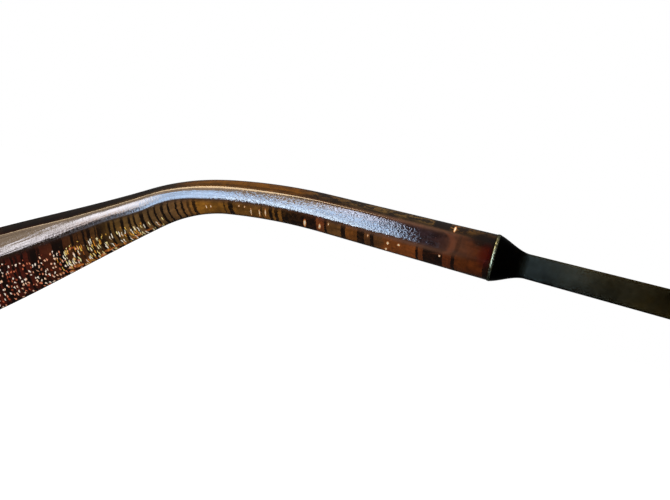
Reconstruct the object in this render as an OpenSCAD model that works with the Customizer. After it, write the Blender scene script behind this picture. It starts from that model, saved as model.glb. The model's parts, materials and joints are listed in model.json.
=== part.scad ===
// Round metal-framed sunglasses with translucent sleeves on the temple tips, standing open on a table.
// Millimetres, +Z up. The lenses face -Y, the temples run towards +Y and +X is the wearer's left.
// The origin is on the table under the middle of the outline.
// Every paired piece is drawn for the left side and mirrored for the right.

/* [Lenses] */
// Diameter of each lens as seen from the front
lens_d = 49; // [42:1:54]
// Thickness of each lens
lens_t = 2; // [1.6:0.1:2.4]
// Radius of the front curve of each lens
lens_curve_r = 120; // [90:5:260]
// How far the pointed edge of a lens stands out into its rim
lens_edge_h = 0.5; // [0.3:0.05:0.6]
// How far each lens turns back at its outer side, in degrees
wrap = 4; // [0:0.5:6]

/* [Front] */
// Gap between the two lenses across the nose
bridge_gap = 21; // [17:1:25]
// Height of the rim wire measured outwards from the lens
rim_h = 1.4; // [1.2:0.1:2]
// Width of the rim wire from front to back
rim_w = 2.2; // [2:0.1:3]
// Rounding of the outer edges of rims, bridge and end pieces
edge_round = 0.4; // [0.2:0.05:0.6]
// Clearance between a lens and its rim
lens_clear = 0.06; // [0.03:0.01:0.1]
// Height at which the bridge meets the rims, above the middle of the lenses
bridge_up = 13; // [8:0.5:17]
// How far the bridge arches up between the rims
bridge_rise = 3.2; // [1.5:0.1:5]
// Height of the bridge bar
bridge_h = 2.4; // [1.8:0.1:3.2]
// Width of the bridge bar from front to back
bridge_t = 2; // [1.4:0.1:2.2]

/* [Rim closure] */
// Height of the slit in each rim, above the middle of the lenses
slit_up = 7.6; // [4:0.2:10]
// Width of the slit
slit_w = 0.3; // [0.2:0.05:0.5]
// Height of each half of the closing block
block_h = 1.9; // [1.5:0.1:2.4]
// How far the closing block stands out from the rim
block_out = 3.2; // [2.8:0.1:4]
// Radius of the rim screw's shank
rim_screw_r = 0.6; // [0.4:0.05:0.7]
// Height of the rim screw's head
rim_screw_head_h = 0.5; // [0.3:0.1:0.8]

/* [End pieces] */
// How far the end pieces reach out past the rims
end_reach = 7.3; // [5:0.1:10]
// Height of the end pieces
end_h = 4.2; // [4:0.1:5]
// Thickness of the end pieces
end_t = 1.6; // [1.2:0.1:2]
// Radius of the corner where an end piece turns back, at the middle of its thickness
end_corner_r = 3.2; // [2:0.1:4.5]
// Straight length of an end piece behind its corner
end_back = 4; // [3.4:0.1:7]

/* [Hinges] */
// Radius of the hinge barrels
barrel_r = 1.25; // [1.1:0.05:1.5]
// Radius of the hinge screw's shank
hinge_screw_r = 0.65; // [0.5:0.05:0.75]
// Radial clearance of the hinge screw in its barrels
hinge_clear = 0.05; // [0.02:0.01:0.08]
// Height of the middle barrel, on the temple
mid_barrel_h = 1.3; // [1:0.1:1.6]
// Height of each outer barrel, on the front
outer_barrel_h = 1.15; // [0.9:0.05:1.4]
// Gap between neighbouring barrels
barrel_gap = 0.1; // [0.05:0.01:0.2]
// Thickness of the hinge leaves
leaf_t = 0.8; // [0.6:0.05:1]
// Height of the hinge leaves
leaf_h = 3; // [2.6:0.1:3.4]
// Length of the leaf on the temple
temple_leaf = 6; // [4:0.5:10]
// Gap between end piece and temple where they butt
butt_gap = 0.06; // [0.04:0.01:0.15]

/* [Temples] */
// Length of a temple measured along it, from the hinge to the tip
temple_len = 145; // [130:1:155]
// Height of the metal strip where the flare starts
strip_h = 2.45; // [2:0.05:3.4]
// Thickness of the metal strip
strip_t = 1.1; // [0.9:0.05:1.4]
// Length over which the strip thins down behind the hinge
strip_taper = 22; // [12:1:35]
// Length of the flare that widens the strip to the sleeve
flare_len = 3.5; // [2.5:0.1:6]
// Width of the polished lip at the end of the flare
lip_w = 0.4; // [0.2:0.05:0.8]
// How far the lip stands out around the sleeve
lip_out = 0.05; // [0:0.01:0.15]

/* [Tip sleeves] */
// Length of a sleeve measured along its middle
sleeve_len = 76; // [64:1:90]
// Straight length of the sleeve before it starts to bend
sleeve_straight = 17.2; // [8:0.2:24]
// Length of the gentle first bend
bend_a_len = 10; // [6:0.5:16]
// Turn of the first bend, in degrees
bend_a = 10; // [4:1:18]
// Length of the tighter second bend
bend_b_len = 8; // [6:0.5:14]
// Turn of the second bend, in degrees
bend_b = 25; // [12:1:34]
// Height of the sleeve where it meets the flare
sleeve_h = 4.6; // [4:0.1:5.6]
// Height of the sleeve at its neck
neck_h = 3.48; // [3:0.02:4.2]
// Height of the paddle
paddle_h = 9.2; // [6.5:0.1:11]
// Distance along the sleeve to its neck
neck_at = 28; // [20:1:34]
// Length over which the neck grows to the paddle's full height
paddle_grow = 34; // [24:1:38]
// Thickness of the sleeve where it meets the flare
sleeve_t = 3.3; // [2.8:0.1:4]
// Thickness of the paddle
paddle_t = 2.8; // [2.4:0.1:3.4]
// How far the end of the paddle curves in towards the head
tip_inward = 3; // [0:0.5:6]
// Radius of the core wire in the sleeve
core_r = 0.7; // [0.5:0.05:0.8]
// Length of the core wire
core_len = 58; // [40:1:62]
// Clearance around the core wire
core_clear = 0.03; // [0.02:0.01:0.06]

/* [Nose pads] */
// Distance between the pad faces at their middles
pad_gap = 16.6; // [13:0.2:20]
// Distance of the pad screws behind the middle of the lenses
pad_back = 6.4; // [5:0.2:9]
// Distance of the pad screws below the middle of the lenses
pad_down = 4; // [1:0.5:7]
// Length of a pad
pad_len = 13; // [10:0.5:16]
// Width of a pad
pad_w = 7.5; // [6:0.5:9]
// Thickness of a pad
pad_t = 2.4; // [2:0.1:3.2]
// How far the pads spread apart towards the face, in degrees
pad_splay = 25; // [15:1:35]
// How far the pads lean together at the top, in degrees
pad_tilt = 15; // [8:1:25]
// Radius of the pad screw's shank
pad_screw_r = 0.45; // [0.35:0.05:0.5]
// Radial clearance of the pad screw in its holes
pad_clear = 0.05; // [0.02:0.01:0.08]
// Radius of the pad arm wire
arm_r = 0.55; // [0.4:0.05:0.7]
// Height at which a pad arm leaves the rim, above the middle of the lenses
arm_up = 3.5; // [2:0.5:6]

/* [Hidden] */
// Facets of the round shapes
$fn = 96;
// Facets along the flat curve of a lens
lens_fn = 720;
// Depth by which a cutter passes the surface that it cuts
over = 1;
// Squareness of a strip's section and of a sleeve's
strip_e = 12;
sleeve_e = 2.6;

// Front, seen from ahead
lens_r = lens_d/2;
rim_r = lens_r + rim_h;
rim_in_r = lens_r + lens_clear;
lens_x = lens_r + bridge_gap/2;
mid_z = rim_r;

// What meets a rim starts inside it, and a cutter of this length trims it to the rim's outer face
trim_in = 2*rim_h;
trim_len = 4*rim_w;

// Lens curve: depth of its bow at the rim, its foremost point on the lens's own axis and in the whole front
lens_bow = lens_curve_r - sqrt(lens_curve_r*lens_curve_r - lens_r*lens_r);
lens_nose = lens_bow + lens_t/2;
front_nose = lens_nose + lens_curve_r*(1 - cos(wrap));

// Rim closure
slit_x = sqrt(rim_r*rim_r - slit_up*slit_up);
block_x = slit_x + block_out;
small_head_out = 0.3;
rim_screw_head_r = rim_screw_r + small_head_out;
rim_screw_edge = 0.5;
rim_screw_x = block_x - rim_screw_head_r - rim_screw_edge;
rim_screw_short = 0.2;
block_top = mid_z + slit_up + slit_w/2 + block_h;
block_bottom = mid_z + slit_up - slit_w/2 - block_h;
screw_fit = 0.04;

// End piece: it seats on the closing block and turns back to the hinge
hinge_z = block_top + end_h/2;
outer_x = lens_x + rim_r + end_reach;
inner_x = outer_x - end_t;
end_rise = hinge_z - mid_z;
seat_u = sqrt(rim_r*rim_r - end_rise*end_rise);
seat_x = lens_x + seat_u*cos(wrap);
seat_y = seat_u*sin(wrap);
corner_x = outer_x - end_t/2 - end_corner_r;
corner_y = seat_y + end_corner_r;

// Hinge: its axis lies in the butt plane, inside the inner face of end piece and temple
butt_y = corner_y + end_back;
barrel_side = 0.15;
knuckle_clear = 0.25;
leaf_edge = 0.2;
hinge_head_in = 0.2;
hinge_x = inner_x - barrel_r - barrel_side;
knuckle_r = barrel_r + knuckle_clear;
hinge_bore_r = hinge_screw_r + hinge_clear;
front_leaf = end_back - leaf_edge;
barrels_h = mid_barrel_h + 2*barrel_gap + 2*outer_barrel_h;
hinge_head_r = barrel_r - hinge_head_in;
hinge_head_h = 0.5;

// Temple: distances run back from the hinge axis along the strip
ferrule_at = temple_len - sleeve_len;
flare_at = ferrule_at - flare_len;
temple_x = inner_x + strip_t/2;
bend_a_at = sleeve_straight;
bend_b_at = bend_a_at + bend_a_len;
drop_at = bend_b_at + bend_b_len;
tip_r = paddle_h/2;
tip_round_at = sleeve_len - tip_r;

// The temple slopes down just so far that its rounded end stands on the table
tip_centre = along_tip(tip_round_at);
tip_reach = norm([tip_centre[0], tip_centre[1]]);
slope = asin((hinge_z - tip_r)/tip_reach) - atan2(-tip_centre[1], tip_centre[0]);
tip_back = tip_centre[0]*cos(slope) + tip_centre[1]*sin(slope) + tip_r;

// Place of the lens plane that puts the middle of the whole outline at the origin
front_y = (front_nose - butt_y - tip_back)/2;

// Points on the domed side of a sleeve's section, and steps along the sleeve and its wire
ring_side = 9;
tip_steps = 32;
core_steps = 24;
// Length over which the facet fades in behind the flare, and how much it is crowned
facet_in = 5;
facet_crown = 0.06;
// Shares of the sleeve's height that the upper bevel and the facet take, in front and on the paddle
bevel_share = [0.22, 0.16];
facet_share = [0.46, 0.30];
// Roundness of the bevels, and how the thickness closes round the end
bevel_e = 0.7;
end_e = 0.6;
// How softly the flare starts, from 0 for a sharp start to 1 for a soft one
flare_soft = 0.6;

// Nose pad: its own axes start at the screw, x away from the nose, y back and z up
pad_seat = 1.3;
plate_t = 0.5;
plate_r = 1.7;
plate_len = 6.4;
ear_r = 0.95;
ear_t = 0.95;
fork_gap = 1.1;
fork_w = 2.3;
fork_back = 1.55;
fork_clear = 0.15;
plate_clear = 0.04;
pad_points = 28;
pad_e = 2.3;
pad_reach = pad_seat + pad_t;
pad_bore_r = pad_screw_r + pad_clear;
pad_head_h = 0.35;
pad_out = [cos(pad_splay)*cos(pad_tilt), -sin(pad_splay)*cos(pad_tilt), sin(pad_tilt)];
pad_x = pad_gap/2 + pad_reach*pad_out[0];
pad_pivot = [pad_x, pad_back, mid_z - pad_down];
arm_start_u = -sqrt(pow(rim_in_r + (rim_r - rim_in_r)/2, 2) - arm_up*arm_up);
arm_dir = [-sin(wrap), cos(wrap), 0];
arm_start = [lens_x + arm_start_u*cos(wrap), arm_start_u*sin(wrap), mid_z + arm_up] + arm_dir*rim_w/2;
arm_end = pad_pivot + pad_out*fork_back;
// The arm runs straight out of the rim and into the fork for about these lengths
arm_lead_rim = 6;
arm_lead_fork = 4;
arm_steps = 18;
arm_sides = 10;

// Colours as the object shows them
metal = [0.20, 0.19, 0.16];
bright = [0.62, 0.60, 0.52];
amber = [0.45, 0.25, 0.06];
tint = [0.20, 0.16, 0.12, 0.75];
clear_pad = [0.85, 0.85, 0.82, 0.8];

// Helpers

function mix(a, b, t) = a + (b - a)*t;

// Eases from 0 to 1 with level ends
function ease(t) =
    let (c = max(0, min(1, t)))
    c*c*(3 - 2*c);

function unit(v) = v/norm(v);

// Signed power, for rounded rectangles
function spow(v, e) = sign(v)*pow(abs(v), e);

// Point of a rounded rectangle of half sizes a and b; a larger e gives squarer corners
function oval(a, b, e, angle) = [a*spow(cos(angle), 2/e), b*spow(sin(angle), 2/e)];

// Pose [distance back, height, downward angle] after a straight or a bend
function travel(pose, length, turn) =
    turn == 0
    ? [pose[0] + length*cos(pose[2]), pose[1] - length*sin(pose[2]), pose[2]]
    : let (r = length*180/(PI*turn), a = pose[2])
      [pose[0] + r*(sin(a + turn) - sin(a)), pose[1] + r*(cos(a + turn) - cos(a)), a + turn];

// Closed solid through rings that all have the same number of points
module skin(rings) {
    n = len(rings[0]);
    last = (len(rings) - 1)*n;
    polyhedron(
        points = [for (ring = rings) each ring],
        faces = [
            [for (i = [0:n - 1]) i],
            for (k = [0:len(rings) - 2], i = [0:n - 1])
                let (a = k*n + i, b = k*n + (i + 1)%n)
                each [[a, b + n, b], [a, a + n, b + n]],
            [for (i = [n - 1:-1:0]) last + i]
        ]
    );
}

// Draws a left-hand piece as it is, or mirrored for the right
module side(left) {
    if (left)
        children();
    else
        mirror([1, 0, 0]) children();
}

module at_front() {
    translate([0, front_y, 0]) children();
}

// Frame of the left lens: x out, y back, z up
module at_lens() {
    at_front() translate([lens_x, 0, mid_z]) rotate([0, 0, wrap]) children();
}

// Frame of the left hinge axis, in the butt plane
module at_hinge() {
    at_front() translate([hinge_x, butt_y, hinge_z]) children();
}

// Frame of the left temple: y back along the strip
module at_temple() {
    at_front() translate([temple_x, butt_y, hinge_z]) rotate([-slope, 0, 0]) children();
}

// Frame of the left nose pad at its screw
module at_pad() {
    at_front() translate(pad_pivot) rotate([0, 0, -pad_splay]) rotate([0, -pad_tilt, 0]) children();
}

// Flat rectangle with round corners
module round_bar(w, h, r) {
    square([w - 2*r, h], center = true);
    square([w, h - 2*r], center = true);
    for (x = [-1, 1], y = [-1, 1])
        translate([x*(w/2 - r), y*(h/2 - r)]) circle(r = r);
}

// Everything inside the outer face of the left rim
module rim_envelope() {
    at_lens() rotate([90, 0, 0]) cylinder(r = rim_r, h = trim_len, center = true);
}

// Screw along +Z: its shank ends at 0 and its slotted head stands on the top
module screw(shank_r, length, head_r, head_h) {
    cylinder(r = shank_r, h = length);
    translate([0, 0, length]) difference() {
        cylinder(r = head_r, h = head_h);
        translate([-head_r - over, -head_r/6, head_h/2]) cube([2*(head_r + over), head_r/3, head_h]);
    }
}

// Front

// Grooved ring round the lens, with a slit where the closing block clamps it
module rim(left) {
    groove = lens_edge_h + lens_clear;
    color(metal) side(left) at_lens() difference() {
        rotate([90, 0, 0]) rotate_extrude() difference() {
            union() {
                translate([rim_in_r, -rim_w/2]) square([rim_r - rim_in_r - edge_round, rim_w]);
                translate([rim_in_r, edge_round - rim_w/2])
                    square([rim_r - rim_in_r, rim_w - 2*edge_round]);
                for (y = [-1, 1])
                    translate([rim_r - edge_round, y*(rim_w/2 - edge_round)]) circle(r = edge_round);
            }
            polygon([[rim_in_r - over, groove + over], [rim_in_r + groove, 0], [rim_in_r - over, -groove - over]]);
        }
        translate([lens_r/2, -rim_w, slit_up - slit_w/2]) cube([rim_r, 2*rim_w, slit_w]);
    }
}

// Curved lens, thin and even, with a pointed edge that sits in the rim's groove
module lens(left) {
    color(tint) side(left) at_lens() rotate([90, 0, 0]) rotate_extrude() {
        intersection() {
            difference() {
                translate([0, lens_nose - lens_curve_r]) circle(r = lens_curve_r, $fn = lens_fn);
                translate([0, lens_nose - lens_curve_r]) circle(r = lens_curve_r - lens_t, $fn = lens_fn);
            }
            translate([0, -lens_t]) square([lens_r, lens_nose + 2*lens_t]);
        }
        polygon([[lens_r - lens_edge_h/2, -1.5*lens_edge_h], [lens_r + lens_edge_h, 0],
            [lens_r - lens_edge_h/2, 1.5*lens_edge_h]]);
    }
}

// Arched bar between the rims, cut to their outer faces
module bridge() {
    meet_x = lens_x - sqrt(rim_r*rim_r - bridge_up*bridge_up);
    arch_r = (meet_x*meet_x + bridge_rise*bridge_rise)/(2*bridge_rise);
    half_angle = 2*atan(bridge_rise/meet_x) + trim_in/arch_r*180/PI;
    meet_y = -sqrt(rim_r*rim_r - bridge_up*bridge_up)*sin(wrap);
    color(metal) difference() {
        at_front() translate([0, meet_y, mid_z + bridge_up + bridge_rise - arch_r])
            rotate([90, 0, 0]) rotate([0, 0, 90 - half_angle]) rotate_extrude(angle = 2*half_angle)
                translate([arch_r, 0]) round_bar(bridge_h, bridge_t, edge_round);
        rim_envelope();
        mirror([1, 0, 0]) rim_envelope();
    }
}

// Two block halves, one on each side of the slit, with the screw's hole through both
module closing_block(left) {
    color(metal) side(left) difference() {
        at_lens() for (z = [slit_w/2, -slit_w/2 - block_h])
            translate([slit_x - trim_in, -rim_w/2, slit_up + z])
                cube([block_x - slit_x + trim_in, rim_w, block_h]);
        rim_envelope();
        at_lens() translate([rim_screw_x, 0, slit_up - slit_w - block_h - over])
            cylinder(r = rim_screw_r + screw_fit, h = 2*(slit_w + block_h + over));
    }
}

// Screw that draws the block halves together, put in from below
module rim_screw(left) {
    length = 2*block_h + slit_w - rim_screw_short;
    color(bright) side(left) at_front() translate([lens_x, 0, 0]) rotate([0, 0, wrap])
        translate([rim_screw_x, 0, block_bottom + length]) mirror([0, 0, 1])
            screw(rim_screw_r, length, rim_screw_head_r, rim_screw_head_h);
}

// Arm that leaves the rim above the closing block, turns the corner and ends at the hinge
module end_piece(left) {
    color(metal) side(left) difference() {
        at_front() translate([corner_x, corner_y, hinge_z]) {
            translate([end_corner_r, end_back, 0]) rotate([90, 0, 0]) linear_extrude(end_back)
                round_bar(end_t, end_h, edge_round);
            rotate([0, 0, -90]) {
                rotate_extrude(angle = 90) translate([end_corner_r, 0]) round_bar(end_t, end_h, edge_round);
                translate([end_corner_r, 0, 0]) rotate([90, 0, 0])
                    linear_extrude(corner_x - seat_x + trim_in) round_bar(end_t, end_h, edge_round);
            }
        }
        rim_envelope();
    }
}

// Leaf on the end piece with the upper and lower barrels
module front_hinge(left) {
    color(metal) side(left) at_hinge() difference() {
        union() {
            difference() {
                translate([inner_x - hinge_x - leaf_t, -front_leaf, -leaf_h/2]) cube([leaf_t, front_leaf, leaf_h]);
                cylinder(r = knuckle_r, h = mid_barrel_h + 2*barrel_gap, center = true);
            }
            for (z = [mid_barrel_h/2 + barrel_gap, -mid_barrel_h/2 - barrel_gap - outer_barrel_h])
                translate([0, 0, z]) cylinder(r = barrel_r, h = outer_barrel_h);
        }
        cylinder(r = hinge_bore_r, h = barrels_h + 2*over, center = true);
    }
}

// Hinge screw, held by the lower barrel, with its head on the upper one
module hinge_screw(left) {
    color(bright) side(left) at_hinge() translate([0, 0, -barrels_h/2])
        screw(hinge_screw_r, barrels_h, hinge_head_r, hinge_head_h);
}

// Point of a curve that starts at a, heads for b, arrives from c and ends at d
function curve(a, b, c, d, t) =
    a*pow(1 - t, 3) + 3*b*t*pow(1 - t, 2) + 3*c*t*t*(1 - t) + d*t*t*t;

// Curved wire from the back of the rim to the fork that holds the pad
module pad_arm(left) {
    b = arm_start + arm_dir*arm_lead_rim;
    c = arm_end + pad_out*arm_lead_fork;
    dt = 0.2/arm_steps;
    rings = [for (k = [0:arm_steps])
        let (
            t = k/arm_steps,
            at = curve(arm_start, b, c, arm_end, t),
            dir = k == 0 ? arm_dir
                : k == arm_steps ? -pad_out
                : unit(curve(arm_start, b, c, arm_end, t + dt) - curve(arm_start, b, c, arm_end, t - dt)),
            u = unit(cross(dir, [0, 0, 1])),
            v = cross(dir, u)
        )
        [for (i = [0:arm_sides - 1]) at + arm_r*(u*cos(360*i/arm_sides) + v*sin(360*i/arm_sides))]];
    color(metal) side(left) {
        at_front() skin(rings);
        at_pad() difference() {
            translate([-ear_r, -fork_w/2, -fork_w/2]) cube([ear_r + fork_back, fork_w, fork_w]);
            translate([-ear_r - over, -fork_gap/2, -fork_w/2 - over])
                cube([2*ear_r + fork_clear + over, fork_gap, fork_w + 2*over]);
            rotate([90, 0, 0]) cylinder(r = pad_bore_r, h = fork_w + 2*over, center = true);
        }
    }
}

// Screw through the fork and the pad's ear
module pad_screw(left) {
    color(bright) side(left) at_pad() translate([0, -fork_w/2, 0]) rotate([-90, 0, 0])
        screw(pad_screw_r, fork_w, pad_screw_r + small_head_out, pad_head_h);
}

// Metal plate in the back of the pad, with the ear that turns on the screw
module pad_insert(left) {
    color(bright) side(left) at_pad() {
        translate([-pad_seat - plate_t, 0, 0]) rotate([90, 0, 90]) linear_extrude(plate_t) {
            square([2*plate_r, plate_len - 2*plate_r], center = true);
            for (y = [-1, 1])
                translate([0, y*(plate_len/2 - plate_r)]) circle(r = plate_r);
        }
        rotate([90, 0, 0]) linear_extrude(ear_t, center = true) difference() {
            union() {
                circle(r = ear_r);
                translate([-pad_seat - plate_t/2, -ear_r]) square([pad_seat + plate_t/2, 2*ear_r]);
            }
            circle(r = pad_bore_r);
        }
    }
}

// Point of the pad's outline, round at the back and flatter at the front
function pad_edge(scale, angle) =
    let (o = oval(pad_w/2, pad_len/2, pad_e, angle))
    [(o[0] < 0 ? 0.88*o[0] : o[0])*scale, o[1]*scale];

// Point of the plate's outline with a little room round it
function pocket_edge(angle) =
    let (
        r = plate_r + plate_clear,
        straight = plate_len/2 - plate_r,
        c = [r*cos(angle), r*sin(angle)]
    )
    [c[0], c[1] + sign(c[1])*straight];

// Crowned pad with a pocket for its plate
module nose_pad(left) {
    angles = [for (i = [0:pad_points - 1]) 360*(i + 0.5)/pad_points];
    // Depth and size of each level of the pad, as shares of its thickness and its outline
    levels = [[0, 0.9], [0.14, 0.98], [0.34, 1], [0.56, 0.97], [0.76, 0.87], [0.9, 0.7], [0.97, 0.45], [1, 0.15]];
    rings = [
        [for (a = angles) let (e = pocket_edge(a)) [-pad_seat - plate_t, e[0], e[1]]],
        [for (a = angles) let (e = pocket_edge(a)) [-pad_seat, e[0], e[1]]],
        for (level = levels)
            [for (a = angles) let (e = pad_edge(level[1], a)) [-pad_seat - level[0]*pad_t, e[0], e[1]]]
    ];
    color(clear_pad) side(left) at_pad() skin(rings);
}

// Temples

// Height of the strip at a distance back from the hinge
function strip_height(p) = mix(end_h, strip_h, p/flare_at);

// Metal strip that thins down behind the hinge and flares out to a polished lip at the sleeve
module temple_bar(left) {
    count = 24;
    angles = [for (i = [0:count - 1]) 360*i/count];
    butt = [for (a = angles)
        let (e = oval(end_t/2, end_h/2, strip_e, a))
        [e[0] + (end_t - strip_t)/2, (butt_gap - e[1]*sin(slope))/cos(slope), e[1]]];
    plain = [for (p = [strip_taper, (strip_taper + flare_at)/2, flare_at])
        [for (a = angles) let (e = oval(strip_t/2, strip_height(p)/2, strip_e, a)) [e[0], p, e[1]]]];
    flare = [for (f = [0.12, 0.25, 0.4, 0.55, 0.7, 0.85, 1])
        let (
            g = mix(f*f, ease(f), flare_soft),
            half_t = mix(strip_t, sleeve_t, g)/2 + f*lip_out,
            half_h = mix(strip_h, sleeve_h, g)/2 + f*lip_out
        )
        [for (a = angles) let (e = oval(half_t, half_h, mix(strip_e, sleeve_e, ease(2*f)), a))
            [e[0], flare_at + f*(flare_len - lip_w), e[1]]]];
    lip = [for (a = angles)
        let (e = oval(sleeve_t/2 + lip_out, sleeve_h/2 + lip_out, sleeve_e, a))
        [e[0], ferrule_at, e[1]]];
    color(metal) side(left) at_temple() skin(concat([butt], plain, flare, [lip]));
}

// Leaf on the temple with the middle barrel
module temple_hinge(left) {
    color(metal) side(left) difference() {
        union() {
            difference() {
                at_temple() translate([-strip_t/2 - leaf_t, 0, -leaf_h/2])
                    cube([leaf_t, temple_leaf, leaf_h]);
                at_hinge() translate([-over, -2*over - barrel_r, -end_h])
                    cube([barrel_r*2, butt_gap + 2*over + barrel_r, 2*end_h]);
                for (z = [mid_barrel_h/2, -mid_barrel_h/2 - end_h])
                    at_hinge() translate([0, 0, z]) cylinder(r = knuckle_r, h = end_h);
            }
            at_hinge() cylinder(r = barrel_r, h = mid_barrel_h, center = true);
        }
        at_hinge() cylinder(r = hinge_bore_r, h = barrels_h + 2*over, center = true);
    }
}

// Pose of the sleeve's middle line at a distance along it from the flare
function along_tip(s) =
    let (
        start = travel([ferrule_at, 0, 0], min(s, bend_a_at), 0),
        a = min(max(s - bend_a_at, 0), bend_a_len),
        b = min(max(s - bend_b_at, 0), bend_b_len),
        first = a > 0 ? travel(start, a, bend_a*a/bend_a_len) : start,
        second = b > 0 ? travel(first, b, bend_b*b/bend_b_len) : first
    )
    s > drop_at ? travel_on(second, s - drop_at) : second;

// Straight on along the pose's own direction
function travel_on(pose, length) = [pose[0] + length*cos(pose[2]), pose[1] - length*sin(pose[2]), pose[2]];

// How far the sleeve has curved in towards the head
function tip_curve(s) = tip_inward*pow(max(0, s - drop_at)/(sleeve_len - drop_at), 2);

// 1 along the sleeve and falling to 0 round its end
function tip_end(s) = sqrt(1 - pow(max(0, min(1, (s - tip_round_at)/tip_r)), 2));

// Height of the sleeve
function tip_height(s) =
    tip_end(s)*(s < neck_at ? mix(sleeve_h, neck_h, s/neck_at)
    : mix(neck_h, paddle_h, ease((s - neck_at)/paddle_grow)));

// Thickness of the sleeve on each side of its middle
function tip_half_t(s) = pow(tip_end(s), end_e)*mix(sleeve_t, paddle_t, ease(s/drop_at))/2;

// Section of the sleeve as points [inwards, up]: a bevel, a flat facet and a wider bevel face the head,
// and the outer side is domed. The facet starts a little behind the flare.
function tip_section(s) =
    let (
        h = tip_height(s),
        t = tip_half_t(s),
        late = ease((s - neck_at)/(drop_at - neck_at)),
        top = h*mix(bevel_share[0], bevel_share[1], late),
        facet = h*mix(facet_share[0], facet_share[1], late),
        low = h - top - facet,
        cut = ease(s/facet_in),
        inner = [
            for (f = [0, 0.3, 0.65]) [t*pow(f, bevel_e), h/2 - top*f],
            for (f = [0, 0.33, 0.67, 1]) [t*(1 - facet_crown*pow(2*f - 1, 2)), h/2 - top - facet*f],
            for (f = [0.72, 0.46, 0.2, 0]) [t*(1 - facet_crown)*pow(f, bevel_e), low*f - h/2]
        ]
    )
    [
        for (e = inner)
            let (domed = t*pow(max(0, 1 - pow(abs(2*e[1]/h), sleeve_e)), 1/sleeve_e))
            [mix(domed, e[0], cut), e[1]],
        for (i = [1:ring_side]) let (o = oval(t, h/2, sleeve_e, 180*i/(ring_side + 1) - 90)) [-o[0], o[1]]
    ];

// Ring round the sleeve's middle line, or a round one of radius r inside it
function tip_ring(s, r = 0) =
    let (pose = along_tip(s), section = tip_section(s))
    [for (e = section)
        let (w = r > 0 ? r*unit(e) : e)
        [-tip_curve(s) - w[0], pose[0] + w[1]*sin(pose[2]), pose[1] + w[1]*cos(pose[2])]];

// Wire that carries the sleeve, from the flare into the paddle
module core_wire(left) {
    color(bright) side(left) at_temple()
        skin([for (k = [0:core_steps]) tip_ring(core_len*k/core_steps, core_r)]);
}

// Translucent sleeve: channel for the wire, front face, outer skin and rounded end
module tip_sleeve(left) {
    channel = [for (k = [core_steps:-1:0]) tip_ring((core_len + core_clear)*k/core_steps, core_r + core_clear)];
    outer = [for (k = [0:tip_steps]) tip_ring(tip_round_at*k/tip_steps)];
    end = [for (a = [20, 38, 54, 68, 80, 87]) tip_ring(tip_round_at + tip_r*sin(a))];
    color(amber) side(left) at_temple() skin(concat(channel, outer, end));
}

rim(true);  // rim_left
rim(false);  // rim_right
bridge();
lens(true);  // lens_left
lens(false);  // lens_right
closing_block(true);  // closing_block_left
closing_block(false);  // closing_block_right
rim_screw(true);  // rim_screw_left
rim_screw(false);  // rim_screw_right
end_piece(true);  // end_piece_left
end_piece(false);  // end_piece_right
front_hinge(true);  // front_hinge_left
front_hinge(false);  // front_hinge_right
hinge_screw(true);  // hinge_screw_left
hinge_screw(false);  // hinge_screw_right
pad_arm(true);  // pad_arm_left
pad_arm(false);  // pad_arm_right
pad_screw(true);  // pad_screw_left
pad_screw(false);  // pad_screw_right
pad_insert(true);  // pad_insert_left
pad_insert(false);  // pad_insert_right
nose_pad(true);  // nose_pad_left
nose_pad(false);  // nose_pad_right
temple_bar(true);  // temple_bar_left
temple_bar(false);  // temple_bar_right
temple_hinge(true);  // temple_hinge_left
temple_hinge(false);  // temple_hinge_right
core_wire(true);  // core_wire_left
core_wire(false);  // core_wire_right
tip_sleeve(true);  // tip_sleeve_left
tip_sleeve(false);  // tip_sleeve_right
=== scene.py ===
"""Round metal-framed sunglasses, dressed and lit for a close view of the end of one temple.

Sizes are named in millimetres, and every mesh is placed in metres in the model's own frame: the lenses
face -Y, the temples run towards +Y, +X is the wearer's left and the table is at Z = 0.
"""

import json
import logging
import math
from dataclasses import dataclass, field
from enum import Enum
from functools import reduce
from typing import Any, Callable, Iterable, Mapping, Sequence, Union

import bpy
import numpy as np
from mathutils import Matrix, Vector


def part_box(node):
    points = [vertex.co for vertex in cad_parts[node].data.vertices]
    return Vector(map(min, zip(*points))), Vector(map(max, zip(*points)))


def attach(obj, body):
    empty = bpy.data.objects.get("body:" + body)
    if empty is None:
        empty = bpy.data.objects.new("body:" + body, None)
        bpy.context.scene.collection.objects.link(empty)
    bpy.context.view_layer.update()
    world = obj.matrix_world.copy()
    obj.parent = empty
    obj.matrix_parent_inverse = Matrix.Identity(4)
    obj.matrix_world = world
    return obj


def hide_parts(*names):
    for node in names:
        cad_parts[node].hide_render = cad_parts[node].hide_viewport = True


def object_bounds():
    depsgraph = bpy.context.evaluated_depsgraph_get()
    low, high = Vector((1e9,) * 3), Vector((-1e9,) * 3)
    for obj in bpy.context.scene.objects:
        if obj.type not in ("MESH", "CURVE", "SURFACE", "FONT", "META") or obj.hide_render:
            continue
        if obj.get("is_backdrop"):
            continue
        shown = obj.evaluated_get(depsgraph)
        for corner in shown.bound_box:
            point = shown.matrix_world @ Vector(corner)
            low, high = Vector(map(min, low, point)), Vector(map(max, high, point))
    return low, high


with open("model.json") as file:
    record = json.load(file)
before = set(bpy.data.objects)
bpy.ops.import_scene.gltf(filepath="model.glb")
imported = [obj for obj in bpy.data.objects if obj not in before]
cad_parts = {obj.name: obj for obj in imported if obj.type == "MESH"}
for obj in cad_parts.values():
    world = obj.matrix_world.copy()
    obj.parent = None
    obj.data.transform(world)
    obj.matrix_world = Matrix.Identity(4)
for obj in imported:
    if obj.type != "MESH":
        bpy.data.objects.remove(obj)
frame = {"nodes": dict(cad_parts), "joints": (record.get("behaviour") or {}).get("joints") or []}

LOG = logging.getLogger("sunglasses")
MM = 0.001
PHOTO_WIDTH = 670
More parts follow.
